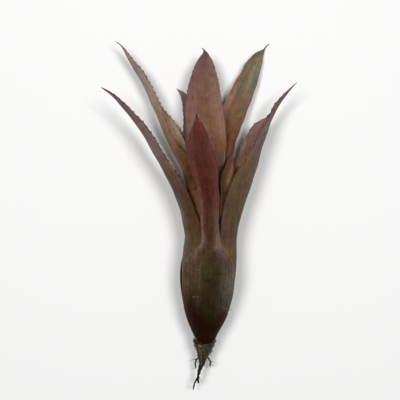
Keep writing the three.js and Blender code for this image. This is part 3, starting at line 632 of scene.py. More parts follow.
def lengths(line):
    """Distance along a broken line to each of its points."""
    return np.concatenate([[0], np.cumsum(np.linalg.norm(np.diff(line, axis=0), axis=1))])


def draws(count, seed):
    """Repeatable numbers between 0 and 1, in an array of the shape that count gives."""
    return np.random.default_rng(seed).random(count)


def foot_height(layer):
    """Height at which a sheath of this layer leaves the stem."""
    depth = layer * LAYER + THICK_MIDDLE
    h = SHEATH_FOOT + 0.1 * np.arange(400)
    value, slope = smooth(URN, h)
    inside = value[:, 0] - depth * np.hypot(1, slope[:, 0])
    return h[np.argmax(inside >= smooth(STEM, h)[0][:, 0] + STEM_CLEAR)]


def blade_rows(leaf):
    """Stations of the blade's midline with the distance along it, from three on the urn on."""
    mid = math.radians(leaf["azimuth"])
    a = math.radians(smooth(leaf["sheath"], URN_TOP)[0][0])
    rows = []
    for h in (URN_TOP - 2 * LEAD_IN, URN_TOP - LEAD_IN, URN_TOP):
        p = urn_point(h, mid, leaf["layer"] * LAYER)
        r = float(envelope(h, mid)) - leaf["layer"] * LAYER
        rows.append([*p, r * a, a, mid])
    for x, y, z, w, fold, face in leaf["blade"]:
        rows.append([x, y, z - AXIS_HEIGHT, w, math.radians(fold), math.radians(face)])
    rows = np.array(rows)
    at = lengths(rows[:, :3])
    return np.column_stack([at, rows]), at[2], at[-3], at[-1]


def spines(s, start, spike, pitch, length, seed):
    """Reach of the margin at s: a broad low tooth with a narrow spine on it, in every pitch.

    Both fall off from the same place, the tooth in a line over half a pitch and the spine a
    little hollow over its half width. Their length varies from pitch to pitch and shortens
    toward the tip.
    """
    count = round((spike - start) / pitch)
    step = (spike - start) / count
    phase = (s - start) / step + 0.25
    k = np.round(phase).astype(int)
    d = np.abs(phase - k) * step
    vary = 0.75 + 0.5 * draws(count + 3, seed)[np.clip(k, 0, count + 2)]
    size = length * np.minimum(1, np.maximum(count - k, 0) / SHORTENING + SHORTEST) * vary
    size = np.where((k > BARE) & (k < count), size, 0)
    broad = np.maximum(0, 1 - d / (0.5 * step))
    narrow = np.maximum(0, 1 - d / SPINE_HALF) ** 1.2
    return size * (BROAD_SHARE * broad + NARROW_SHARE * narrow)


def leaf_grid(name, sizes):
    """Closed grid of a leaf: rows along it, and round each row its outer face, margin, inner
    face and margin.

    On the urn a point lies at height h, azimuth mid + u * span and a depth for its layer.
    On the blade it lies on an arc of half angle a and half length w, carried along the
    midline: C + (w / a) (sin(a u) b + (1 - cos(a u)) n), the inner face deeper along the
    arc's own radius. The two are blended over the first few millimetres of the blade. Low
    sine waves lift the blade and its margins, and the margins reach out by their spines.
    """
    leaf = LEAVES[name]
    seed = sum(map(ord, name))
    pitch = sizes.tooth_pitch / MM
    look = PAINT[name]
    length = sizes.tooth_length / MM * (0.5 + 0.5 * look.get("teeth", 1.0))
    wave, margin_wave = sizes.wave / MM, sizes.margin_wave / MM
    path, start, spike, end = blade_rows(leaf)
    count = round((spike - start) / pitch)
    step = (spike - start) / count
    foot = foot_height(leaf["layer"]) - URN_TOP
    v = np.concatenate([np.linspace(foot, 0, int(-foot / SHEATH_STEP) + 1)[:-1],
                        np.arange(PITCH_ROWS * count) * step / PITCH_ROWS,
                        np.linspace(spike, end, TIP_ROWS) - start])
    inside = np.linspace(-LAST_COLUMN, LAST_COLUMN, sizes.columns - 2)
    u = np.concatenate([[-1], inside, [1]])
    col_u = np.concatenate([u, [1], u[::-1], [-1]])
    n = len(u)
    share = np.concatenate([np.zeros(n), [0.5], np.ones(n), [0.5]])
    reach = np.zeros(2 * n + 2)
    reach[[0, n - 1, n + 1, 2 * n]] = BESIDE_SPINE
    reach[[n, 2 * n + 1]] = 1
    bulge = np.zeros(2 * n + 2)
    bulge[[n, 2 * n + 1]] = ROUNDNESS
    V, U = np.meshgrid(v, col_u, indexing="ij")
    side = np.sign(U)

    s = np.clip(start + V[:, 0], start, end)
    tooth = np.where(v > 0, spines(s, start, spike, pitch, length, seed), 0)[:, None]
    tooth = tooth * np.where(U > 0, look.get("smooth_side", 1.0), 1)
    out = reach * tooth + bulge * np.where(s > spike, TIP_ROUNDNESS, 1)[:, None]
    phases = draws(4, seed) * 2 * np.pi

    def ripple(form, phase, across):
        """Sine along the leaf, turned across it."""
        long, size, turn = form
        return size * np.sin(2 * np.pi * V / long + phase + turn * across)

    free = ease((v - WAVES_FROM) / WAVES_RISE) * ease((end - start - v) / WAVES_FALL)
    middle = wave * (ripple(LONG_WAVE, phases[0], U) + ripple(SHORT_WAVE, phases[1], U))
    margins = margin_wave * U ** 4 * ripple(EDGE_WAVE, phases[2], side)
    lift = free[:, None] * (middle + margins)

    # On the urn
    followed = np.minimum(V, WALL_REACH)
    h = URN_TOP + followed
    span = np.radians(smooth(leaf["sheath"], np.minimum(h, URN_TOP))[0][..., 0])
    phi = math.radians(leaf["azimuth"]) + U * span
    depth = leaf["layer"] * LAYER + share * thick(U)
    tangent = -np.cos(phi)[..., None] * SIDE - np.sin(phi)[..., None] * FRONT
    on_urn = urn_point(h, phi, depth) + tangent * (side * out)[..., None]
    on_urn += AXIS * (V - followed)[..., None]

    # On the blade
    value, slope = smooth(path, s)
    t = unit(slope[:, :3])
    nrm = -outward(value[:, 5])
    nrm = unit(nrm - t * np.sum(nrm * t, axis=1, keepdims=True))
    b = np.cross(t, nrm)
    w, a = value[:, 3:4], value[:, 4:5]
    q = a * col_u
    thin = np.where(s > spike, 1 - TIP_THINNING * (s - spike) / (end - spike), 1)[:, None]
    deep = share * thick(U) * thin - lift
    along_b = w / a * np.sin(q) - deep * np.sin(q) + out * side * np.cos(q)
    along_n = w / a * (1 - np.cos(q)) + deep * np.cos(q) + out * side * np.sin(q)
    lean = (SPINE_LEAN * reach * tooth)[..., None]
    on_blade = (value[:, None, :3] + along_b[..., None] * b[:, None]
                + along_n[..., None] * nrm[:, None] + lean * t[:, None])
    k = ease(V / TAKE_OVER)[..., None]
    points = on_urn * (1 - k) + on_blade * k + LIFT

    # For the paint
    on_sheath = envelope(h[:, n // 2], phi[:, n // 2]) * span[:, 0]
    width = np.where(v > 0, w[:, 0], on_sheath)[:, None]
    place = np.where(v > 0, v / (end - start), v / SHEATH_PLACE)
    hook = ease((s - spike + DARK_TIP) / (end - spike + DARK_TIP))[:, None]
    marks = dict(
        along=np.broadcast_to(place[:, None], U.shape),
        across=U,
        inner=np.broadcast_to(share, U.shape),
        margin=width * (1 - np.abs(U)),
        spine=np.maximum(np.clip(reach * tooth / DARK_REACH, 0, 1), hook * np.ones_like(U)),
    )
    uv = np.stack([U * width, np.broadcast_to(v[:, None], U.shape)], axis=-1) / MAP_UNIT
    return points, marks, uv, n


def wall_quads(rows, columns):
    """Quads between the rows of a grid that closes on itself."""
    i, j = np.meshgrid(np.arange(rows - 1), np.arange(columns), indexing="ij")
    k = (j + 1) % columns
    corners = [i * columns + j, i * columns + k, (i + 1) * columns + k, (i + 1) * columns + j]
    return np.stack(corners, axis=-1).reshape(-1, 4)


def loop_faces(rows, columns, n):
    """Quads between the rows of a closed grid, and strips over its two ends.

    The loop's first n columns are one face and columns n + 1 to 2 n, counted back, the other.
    """
    a = np.arange(n - 1)
    other = 2 * n - a
    cap = np.stack([a, other, other - 1, a + 1], axis=-1)
    ends = [[n - 1, n + 1, n, n], [0, 2 * n + 1, 2 * n, 2 * n]]
    foot = np.concatenate([cap, np.array(ends)])
    tip = foot[:, ::-1] + (rows - 1) * columns
    return np.concatenate([wall_quads(rows, columns), foot, tip])


def shape(name, points, faces, material, marks=None, uv=None):
    """Mesh object at the origin from points in millimetres and faces of four corners.

    A face whose last two corners are the same is a triangle. All faces are turned over
    together if the solid they bound comes out negative.
    """
    points = np.asarray(points, float).reshape(-1, 3)
    faces = np.asarray(faces)
    three = (faces[:, 3] == faces[:, 2]) | (faces[:, 0] == faces[:, 1])
    tri = np.concatenate([faces[:, [0, 1, 2]], faces[:, [0, 2, 3]]])
    p = points[tri]
    if np.einsum("ij,ij->", p[:, 0], np.cross(p[:, 1], p[:, 2])) < 0:
        faces = faces[:, ::-1]
    lists = np.where((faces[:, 0] == faces[:, 1])[:, None], faces[:, [1, 2, 3, 3]], faces)
    keep = np.ones(lists.shape, bool)
    keep[three, 3] = False
    corners = lists[keep]
    total = np.where(three, 3, 4)
    mesh = bpy.data.meshes.new(name)
    mesh.vertices.add(len(points))
    mesh.vertices.foreach_set("co", (points * MM).astype(np.float32).ravel())
    mesh.loops.add(len(corners))
    mesh.loops.foreach_set("vertex_index", corners.astype(np.int32))
    mesh.polygons.add(len(lists))
    starts = np.concatenate([[0], np.cumsum(total)[:-1]])
    mesh.polygons.foreach_set("loop_start", starts.astype(np.int32))
    mesh.polygons.foreach_set("use_smooth", np.ones(len(lists), bool))
    mesh.update(calc_edges=True)
    for key, values in (marks or {}).items():
        mesh.attributes.new(key, "FLOAT", "POINT").data.foreach_set(
            "value", np.asarray(values, np.float32).ravel())
    if uv is not None:
        flat = np.asarray(uv, np.float32).reshape(-1, 2)[corners]
        mesh.uv_layers.new(name="leaf").data.foreach_set("uv", flat.ravel())
    if mesh.validate(verbose=False):
        raise RuntimeError(f"{name} has faces that had to be mended")
    mesh.materials.append(material)
    obj = bpy.data.objects.new(name, mesh)
    bpy.context.scene.collection.objects.link(obj)
    return obj


def tubes(centre, radius, sides):
    """Points and faces of many round tubes, one for each path in centre.

    A tube is circles of the given radii square to its path, closed at each end by a fan of
    triangles on the path's own end.
    """
    centre = np.asarray(centre, float)
    many, rings = centre.shape[:2]
    t = unit(np.gradient(centre, axis=-2))
    a = unit(np.cross(t, [0.13, 0.2, 0.97]))
    b = np.cross(t, a)
    q = 2 * np.pi * np.arange(sides) / sides
    ring = np.cos(q)[:, None] * a[..., None, :] + np.sin(q)[:, None] * b[..., None, :]
    wall = centre[..., None, :] + ring * np.asarray(radius)[..., None, None]
    points = np.concatenate([wall.reshape(many, -1, 3), centre[:, :1], centre[:, -1:]], axis=1)

    j = np.arange(sides)
    k = (j + 1) % sides
    last = (rings - 1) * sides
    foot = np.full(sides, rings * sides)
    tip = foot + 1
    one = np.concatenate([wall_quads(rings, sides), np.stack([k, j, foot, foot], axis=-1),
                          np.stack([last + j, last + k, tip, tip], axis=-1)])
    faces = one[None] + (np.arange(many) * points.shape[1])[:, None, None]
    return points.reshape(-1, 3), faces.reshape(-1, 4)


def joined(parts):
    """Points and faces of several surfaces as one list of each."""
    points, faces = zip(*parts)
    first = np.cumsum([0] + [len(p) for p in points[:-1]])
    return np.concatenate(points), np.concatenate([f + o for f, o in zip(faces, first)])


def axis_point(rows):
    """Points given as height along the axis, sideways and frontways."""
    rows = np.asarray(rows, float)
    return rows[..., :1] * AXIS + rows[..., 1:2] * SIDE + rows[..., 2:3] * FRONT + LIFT


# Paint

# Scales of the leaf skin's noises, larger for finer ones. VEINS and FINE_VEINS count across
# and along the leaf's own map, where VEIN_SWIRL, VEIN_BEND and DRIFT_ACROSS count too. The
# others count in metres on the plant.
VEINS = (80.0, 4.0, 1.0)
FINE_VEINS = (170.0, 14.0, 1.0)
VEIN_SWIRL = 40.0
VEIN_BEND = (0.012, 0.0, 0.0)
DRIFT_ACROSS = 30.0
DRIFT_ALONG = 90.0
FLECKS = 95.0
FLUSH = 150.0
WEAR = 260.0
MOTTLE = 290.0
GRAIN = 1300.0

# How far the bands drift along and across the leaf, and how much each noise changes the skin:
# veins, fine veins, mottling, grain, pale specks, red flush and its share of blue, dark flecks
# and the spines' dark tips
DRIFT = (0.08, 0.24)
VEIN_DEPTH = 0.75
FINE_DEPTH = 0.6
MOTTLE_DEPTH = 0.75
GRAIN_DEPTH = 0.6
SPECK_DEPTH = 0.35
FLUSH_DEPTH = 0.5
FLUSH_BLUE = 0.6
FLECK_DEPTH = 0.75
SPINE_DEPTH = 0.8

# Scales of the noises of dry tissue, in metres on the plant
STREAKS = (1500.0, 220.0, 1500.0)
PATCHES = 300.0

# Where a margin's stops fade in: from and to across the leaf, for the low and the high side
USUAL_EDGE = (-0.15, -0.8, 0.15, 0.8)

# Light that the leaf skin scatters and how deep, strength of all relief and its depths, with
# depths in millimetres
LEAF_GLOW = 0.3
GLOW_DEPTH = 1.5
BUMP = 0.7
LEAF_RELIEF = 0.09
HUSK_RELIEF = 0.25


class Wire:
    """A socket in a material, on which + - * / add Math nodes."""

    def __init__(self, paint, socket):
        self.paint, self.socket = paint, socket

    def __add__(self, other):
        return self.paint.maths("ADD", self, other)

    __radd__ = __add__

    def __sub__(self, other):
        return self.paint.maths("SUBTRACT", self, other)

    def __rsub__(self, other):
        return self.paint.maths("SUBTRACT", other, self)

    def __mul__(self, other):
        return self.paint.maths("MULTIPLY", self, other)

    __rmul__ = __mul__

    def __truediv__(self, other):
        return self.paint.maths("DIVIDE", self, other)

    def step(self, low, high):
        """0 up to low, 1 from high on, smooth between; falling where low is above high."""
        if low > high:
            return 1 - self.step(high, low)
        return self.paint.node("ShaderNodeMapRange", {"interpolation_type": "SMOOTHSTEP"},
                               {0: self, 1: low, 2: high, 3: 0.0, 4: 1.0})

    def hump(self, middle, half):
        """1 at middle, falling off as a bell whose half width is half."""
        gap = (self - middle) / half
        return self.paint.maths("EXPONENT", gap * gap * -1)


class Paint:
    """A material with one Principled shader, and the calls that add nodes to it."""

    def __init__(self, name, roughness=0.5, specular=0.03, glow=0.0):
        self.material = bpy.data.materials.new(name)
        self.material.use_nodes = True
        self.tree = self.material.node_tree
        self.tree.nodes.clear()
        self.skin = self.tree.nodes.new("ShaderNodeBsdfPrincipled")
        self.skin.inputs["Roughness"].default_value = roughness
        self.skin.inputs["Specular IOR Level"].default_value = specular
        self.skin.inputs["Subsurface Weight"].default_value = glow
        self.skin.inputs["Subsurface Scale"].default_value = GLOW_DEPTH * MM
        end = self.tree.nodes.new("ShaderNodeOutputMaterial")
        self.tree.links.new(self.skin.outputs[0], end.inputs[0])

    def node(self, kind, settings=None, inputs=None, output=0):
        """Adds a node: its settings first, then values or links of its sockets."""
        made = self.tree.nodes.new(kind)
        for key, value in (settings or {}).items():
            if key == "stops":
                band = made.color_ramp
                while len(band.elements) < len(value):
                    band.elements.new(0.5)
                for element, (place, _) in zip(band.elements, value):
                    element.position = place
                for element, (_, tint) in zip(band.elements, value):
                    element.color = (*tint, 1)
            else:
                setattr(made, key, value)
        for key, value in (inputs or {}).items():
            if isinstance(value, Wire):
                self.tree.links.new(value.socket, made.inputs[key])
            else:
                made.inputs[key].default_value = value
        return Wire(self, made.outputs[output])

    def maths(self, operation, *parts):
        """Adds a Math node on numbers or links."""
        return self.node("ShaderNodeMath", {"operation": operation}, dict(enumerate(parts)))

    def vectors(self, operation, *parts):
        """Adds a Vector Math node."""
        return self.node("ShaderNodeVectorMath", {"operation": operation}, dict(enumerate(parts)))

    def read(self, name):
        """A number stored on the surface."""
        return self.node("ShaderNodeAttribute", {"attribute_name": name}, output=2)

    def blend(self, share, first, second, mode="MIX"):
        """Colour from first to second by share."""
        return self.node("ShaderNodeMix", {"data_type": "RGBA", "blend_type": mode},
                         {0: share, 6: self.tint(first), 7: self.tint(second)}, output=2)

    def tint(self, value):
        """A colour in the form that a socket takes."""
        return value if isinstance(value, Wire) else (*value, 1)

    def band(self, along, stops):
        """Colour along -1 to 1 from (place, colour) stops."""
        stops = [((place + 1) / 2, tint) for place, tint in stops]
        return self.node("ShaderNodeValToRGB", {"stops": stops}, {0: along * 0.5 + 0.5})

    def noise(self, where, scale, detail=3.0, stretch=(1, 1, 1)):
        """Smooth noise between 0 and 1 on a vector, finer along the stretched axes."""
        sockets = {"Vector": self.vectors("MULTIPLY", where, stretch), "Scale": scale, "Detail": detail}
        return self.node("ShaderNodeTexNoise", {}, sockets)

    def swirl(self, where, scale):
        """Slow drift of both directions, about 0, from the colour of a noise."""
        sockets = {"Vector": where, "Scale": scale, "Detail": 2.0}
        return self.vectors("SUBTRACT", self.node("ShaderNodeTexNoise", {}, sockets, 1), (0.5, 0.5, 0.5))

    def cells(self, where, scale):
        """Distance to the nearest of scattered points, and a number of its own for each."""
        near = self.node("ShaderNodeTexVoronoi", {}, {"Vector": where, "Scale": scale})
        tint = Wire(self, near.socket.node.outputs[1])
        return near, self.node("ShaderNodeSeparateColor", {}, {0: tint})

    def finish(self, base, roughness, height, depth):
        """Feeds the shader. height raises the surface by up to depth millimetres."""
        bump = self.node("ShaderNodeBump", {}, {"Height": height, "Distance": depth * MM,
                                                "Strength": BUMP})
        for name, wire in {"Base Color": base, "Roughness": roughness, "Normal": bump}.items():
            self.tree.links.new(wire.socket, self.skin.inputs[name])
        return self.material


def leaf_paint(name, tints, sizes):
    """Leaf skin: tints banded along the leaf for its middle and each margin, soft patches,
    veins along it, mottling, dark flecks, a worn rim and dark spines."""
    look = PAINT[name]
    own = (draws(1, sum(map(ord, name)))[0] * 9, 0, 0)
    pick = {key: tuple(getattr(tints, key)) for key in NeoTints.__annotations__}
    paint = Paint(name, sizes.roughness, glow=LEAF_GLOW)
    place = paint.node("ShaderNodeTexCoord", output=3)
    skin = paint.vectors("ADD", paint.node("ShaderNodeUVMap", {"uv_map": "leaf"}), own)
    drift_along = paint.noise(place, DRIFT_ALONG, 3.0)
    drift_across = paint.noise(skin, DRIFT_ACROSS, 3.0, (1.0, 0.6, 1.0))
    along = paint.read("along") + (drift_along - 0.5) * DRIFT[0]
    across = paint.read("across") + (drift_across - 0.5) * DRIFT[1]
    inner = paint.read("inner").step(0.4, 0.6)
    margin = paint.read("margin")
    spine = paint.read("spine")
    low_from, low_to, high_from, high_to = look.get("edge", USUAL_EDGE)

    def face(*parts):
        """Colour across one face from its three lists of stops."""
        low, middle, high = (paint.band(along, [(p, shaded(pick[t], k)) for p, t, k in part])
                             for part in parts)
        base = paint.blend(across.step(low_from, low_to), middle, low)
        return paint.blend(across.step(high_from, high_to), base, high)

    faces = [face(*look["outer"]), face(*look.get("inner", look["outer"]))]
    # Some marks are painted shadows in the gaps between leaves, and one is a painted glint.
    for a, u, half_long, half_wide, tint, strength, which in look["marks"]:
        mask = along.hump(a, half_long) * across.hump(u, half_wide) * strength
        faces[which] = paint.blend(mask, faces[which], pick[tint])
    base = paint.blend(inner, *faces)

    bend = paint.vectors("MULTIPLY_ADD", paint.swirl(skin, VEIN_SWIRL), VEIN_BEND, skin)
    veins = paint.noise(bend, 1.0, 4.0, VEINS)
    fine = paint.noise(bend, 1.0, 3.0, FINE_VEINS)
    mottle = paint.noise(place, MOTTLE, 4.0)
    grain = paint.noise(place, GRAIN, 2.0)
    flush = (paint.noise(place, FLUSH, 3.0) - 0.5) * FLUSH_DEPTH
    rub = look.get("grain", 1.0)
    shade = (1 + (veins - 0.5) * (VEIN_DEPTH * rub) + (fine - 0.5) * (FINE_DEPTH * rub)
             + (mottle - 0.5) * MOTTLE_DEPTH + (grain - 0.5) * (GRAIN_DEPTH * rub))
    shade = shade * (1 + grain.step(0.55, 0.75) * mottle.step(0.45, 0.65) * SPECK_DEPTH)
    tone = paint.node("ShaderNodeCombineColor", {},
                      {0: shade * (1 + flush), 1: shade, 2: shade * (1 - flush * FLUSH_BLUE)})
    base = paint.blend(1.0, base, tone, "MULTIPLY")
    spot, kind = paint.cells(place, FLECKS)
    flecks = spot.step(0.055, 0.03) * kind.step(0.8, 0.82)
    base = paint.blend(flecks * FLECK_DEPTH, base, pick["spine"])
    low, high, strength, reach = look["rim"]
    rim = paint.blend(along.step(-0.02, 0.08), pick[low], pick[high])
    worn = paint.noise(place, WEAR, 3.0).step(0.35, 0.6)
    base = paint.blend(margin.step(reach * 2.0, 0.0) * worn * strength, base, rim)
    spined = spine.step(0.1, 0.6) * (SPINE_DEPTH * look.get("teeth", 1.0))
    base = paint.blend(spined, base, pick["spine"])
    rough = sizes.roughness - 0.06 + grain * 0.12
    return paint.finish(base, rough, veins * 0.6 + fine * 0.3 + grain * 0.35, LEAF_RELIEF)


def husk_paint(name, low, high, toned=False):
    """Dry brown tissue: long streaks between two tints, darker in patches. Where it is toned,
    each strand's own tone counts for more than the streaks."""
    paint = Paint(name, 0.8, 0.2)
    place = paint.node("ShaderNodeTexCoord", output=3)
    streak = paint.noise(place, 1.0, 4.0, STREAKS)
    patch = paint.noise(place, PATCHES, 3.0)
    share = streak.step(0.3, 0.7)
    if toned:
        share = share * 0.25 + paint.read("tone") * 0.85
    base = paint.blend(share, low, high)
    base = paint.blend(patch.step(0.55, 0.75) * 0.6, base, shaded(low, 0.4))
    return paint.finish(base, 0.65 + streak * 0.3, streak + patch, HUSK_RELIEF)


# Operators

# The stage: half width, top and underside of the floor in millimetres and its share of blue,
# the lamps' colour, their place along the plant and above it and what they aim at, and the
# camera's place over the floor, distance from the plant and width of its film
FLOOR_HALF = 3000.0
FLOOR_TOP = -0.1
FLOOR_UNDER = -8
FLOOR_BLUE = 1.005
LAMP_COLOUR = (1.0, 0.995, 0.985)
LAMP_PLACE = (0.24, 1.1)
LAMP_AIM = (0, 0.04, 0)
EYE_OVER = (-5.1 * MM, 49.6 * MM)
EYE_TO_PLANT = 430 * MM
SENSOR = 36


class NeoOperator(bpy.types.Operator):
    """Base of the operators that make the pieces."""

    bl_options = {"REGISTER", "UNDO"}

    def place(self, obj, slot, *nodes):
        """Fixes an object to the plant's body and hides the solids it replaces. The paint slot is not
        used.
        """
        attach(obj, "root")
        if nodes:
            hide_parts(*nodes)


class NEO_OT_leaves(NeoOperator):
    """Make the eight leaves with their sheaths, spined margins and hooked tips"""

    bl_idname = "neo.leaves"
    bl_label = "Leaves"

    def execute(self, context):
        sizes, tints = context.scene.neo_leaves, context.scene.neo_tints
        for name, leaf in LEAVES.items():
            points, marks, uv, n = leaf_grid(name, sizes)
            faces = loop_faces(points.shape[0], points.shape[1], n)
            obj = shape(name + "_skin", points, faces, leaf_paint(name, tints, sizes), marks, uv)
            self.place(obj, leaf["slot"], name)
        return {"FINISHED"}


class NEO_OT_scales(NeoOperator):
    """Make the dry torn scales round the foot of the urn"""

    bl_idname = "neo.scales"
    bl_label = "Scales"

    def execute(self, context):
        husk = context.scene.neo_foot.husk
        material = husk_paint("dry_scale", shaded(husk, 0.45), shaded(husk, 1.25))
        for name, row in SCALES.items():
            points, n = scale_grid(*row)
            obj = shape(name + "_husk", points, loop_faces(*points.shape[:2], n), material)
            self.place(obj, "dry_scale", name)
        return {"FINISHED"}


def scale_grid(azimuth, half, foot, top, torn, seed):
    """Closed grid of a dry scale: a shell just outside the urn, from its foot to a torn top.

    The top's height is a zigzag of broad tears with finer ones, lower toward its sides. Toward
    it the shell thins, flares outward and is ribbed by a sine round the urn.
    """
    n = SCALE_COLUMNS
    u = np.linspace(-1, 1, n)
    zig = np.abs(((u + 1) * TEARS) % 2 - 1)
    ragged = 0.25 + 0.6 * (1 - zig) + 0.3 * (draws(n, seed) - 0.5)
    tops = top - torn * ragged - SIDE_DROP * u * u
    col = np.concatenate([np.arange(n), [n - 1], np.arange(n)[::-1], [0]])
    share = np.concatenate([np.ones(n), [0.5], np.zeros(n), [0.5]])
    j = np.linspace(0, 1, SCALE_ROWS)[:, None]
    phi = np.radians(azimuth + half * u[col]) + 0 * j
    h = foot + (tops[col] - foot) * j
    rib = RIB * np.sin(u[col] * RIB_TURNS) * j
    flare = FLARE * j ** 3 + rib
    skin = SCALE_THICK * (1 - SCALE_THINNING * j ** 2)
    return urn_point(h, phi, -SCALE_CLEAR - share * skin - flare) + LIFT, n


class NEO_OT_stem(NeoOperator):
    """Make the stem with its low rings, and the wiry roots"""

    bl_idname = "neo.stem"
    bl_label = "Stem and roots"

    def execute(self, context):
        root = context.scene.neo_foot.root
        material = husk_paint("root_bark", shaded(root, 0.5), shaded(root, 1.35))
        self.place(shape("stem_bark", *stem_and_roots(), material), "stem_root", "stem")
        return {"FINISHED"}


def stem_and_roots():
    """Points and faces of the stem and roots, closed tubes that run into each other.

    The stem is a turned profile with low rings. A root is a tube along a smooth curve, its
    radius falling from foot to tip with small knots.
    """
    rings, sides = STEM_MESH
    h = np.linspace(STEM[0][0], STEM[-1][0], rings)
    r = smooth(STEM, h)[0][:, 0] * (1 + 0.03 * np.sin(h * 4.2) + 0.02 * np.sin(h * 9.1))
    parts = [tubes((h[:, None] * AXIS + LIFT)[None], r[None], sides)]
    rings, sides = ROOT_MESH
    for index, (rows, wide, thin) in enumerate(ROOTS):
        line = axis_point([[rows[0][0] + ROOT_INSIDE, 0, 0], *rows])
        at = lengths(line)
        s = np.linspace(0, at[-1], rings)
        path = smooth(np.column_stack([at, line]), s)[0]
        shake = np.stack([np.sin(s * 1.9 + index), np.cos(s * 1.4 + 2 * index), np.sin(s * 1.1)], -1)
        path = path + 0.12 * shake * ease(s / 4)[:, None]
        knots = 1 + 0.08 * np.sin(s * 2.7 + index * 3) + 0.05 * np.sin(s * 6.1)
        radius = (wide + (thin - wide) * s / at[-1]) * knots
        radius *= np.sqrt(np.clip((at[-1] + 0.05 - s) / 0.6, 0.02, 1))
        parts.append(tubes(path[None], radius[None], sides))
    return joined(parts)


class NEO_OT_fibres(NeoOperator):
    """Make the loose dry fibres round the foot, the root hairs and the hair on the urn"""

    bl_idname = "neo.fibres"
    bl_label = "Fibres"

    def execute(self, context):
        foot = context.scene.neo_foot
        points, faces, tone = foot_fibres(foot)
        straw = husk_paint("dry_fibre", tuple(foot.husk), tuple(foot.fibre), True)
        self.place(shape("foot_fibres", points, faces, straw, {"tone": tone}), "dry_scale")
        wiry = husk_paint("root_hair", shaded(foot.root, 0.6), shaded(foot.root, 1.5))
        self.place(shape("root_hairs", *root_hairs(), wiry), "stem_root")
        return {"FINISHED"}


def foot_fibres(foot):
    """Points, faces and tones of the tapering tubes round the foot: curls that wander round the
    scales, strands that draw together below them, pale strands and bits among them, a hair on
    the urn and threads along the outermost sheath.

    A curl keeps just outside the urn's wall and swings out in its middle, and in front the
    curls sit lower. A strand's distance from the root falls in step with the length left to
    it, and the strands' middle moves a little to the left on the way down.
    """
    radius = foot.fibre_radius / MM
    rings, sides = FIBRE_MESH
    t = np.linspace(0, 1, rings)
    d = draws((10, foot.fibres), CURL_SEED)[..., None]
    start = CURLS_FROM[0] + CURLS_FROM[1] * d[0] ** 0.8
    h = start - (0.5 + 3.5 * d[1]) * t + 3.0 * (d[2] - 0.5) * np.sin(np.pi * t)
    turn = 2 * np.pi * d[3] + (d[4] - 0.5) * 3.4 * t + 0.35 * np.sin(7 * t + 9 * d[5])
    h = h - 2.0 * np.maximum(np.cos(2 * np.pi * d[3]), 0) ** 2
    away = 1.0 + 0.5 * d[8] + 1.3 * d[6] ** 2 * np.sin(np.pi * t) + 1.2 * d[9] ** 3 * t ** 2
    curls = urn_point(h, turn, -away) + LIFT
    parts = [tubes(curls, radius * (0.8 + 0.9 * d[7]) * (1 - 0.6 * t), sides)]
    tones = [0.9 * d[5, :, 0] ** 1.6]

    e = draws((7, foot.strands), STRAND_SEED)[..., None]
    top = STRANDS_FROM[0] + STRANDS_FROM[1] * e[0]
    h = top + (STRANDS_TO[0] + STRANDS_TO[1] * e[1] - top) * t
    wide = smooth(URN, top)[0][..., 0] + 0.9
    far = 0.7 + (wide - 0.7) * (1 - t) ** (0.75 + 0.3 * e[6])
    spin = 2 * np.pi * e[2] + (e[3] - 0.5) * 1.4 * t + 0.2 * np.sin(5 * t + 8 * e[4])
    middle = np.interp(-h, [42, 57], [0, -1.1])
    strands = AXIS * h[..., None] + outward(spin) * far[..., None] + SIDE * middle[..., None] + LIFT
    parts.append(tubes(strands, radius * (1.3 + 1.6 * e[5]) * (1 - 0.5 * t), sides))
    tones.append(0.3 * e[4, :, 0])

    rings, sides = STRAND_MESH
    t = np.linspace(0, 1, rings)
    pale = smooth(PALE_STRAND, 0.5 + 5 * t)[0]
    edge = smooth(EDGE_STRAND, 4 * t)[0]
    bits = smooth(PALE_BITS, 2 * t)[0]
    rims = smooth(MARGIN_THREADS, 4 * t)[0]
    left, right = (urn_point(rims[:, k], np.radians(rims[:, k + 1]), -0.2 - 0.35 * t ** 3) + LIFT
                   for k in (0, 2))
    hair = urn_point(HAIR_HEIGHT[0] + HAIR_HEIGHT[1] * t,
                     np.radians(HAIR_AZIMUTH[0] + HAIR_AZIMUTH[1] * t), -0.25 - 1.7 * t ** 2) + LIFT
    lines = [axis_point(pale), axis_point(edge), axis_point(bits[:, :3]), axis_point(bits[:, 3:]),
             hair, left, right]
    swell = np.sin(np.pi * np.clip(t, 0.03, 0.97)) ** 0.5
    thin = [0.42 - 0.2 * t, 0.3 - 0.12 * t, 0.62 * swell, 0.5 * swell, 0.23 - 0.13 * t,
            0.1 + 0.2 * t, 0.1 + 0.2 * t]
    parts.append(tubes(np.array(lines), np.array(thin), sides))
    tones.append(np.array([0.75, 0.5, 1.1, 0.8, 0.9, 0.75, 0.8]))

    tone = np.concatenate([np.repeat(own, len(p) // len(own)) for own, (p, _) in zip(tones, parts)])
    return *joined(parts), tone


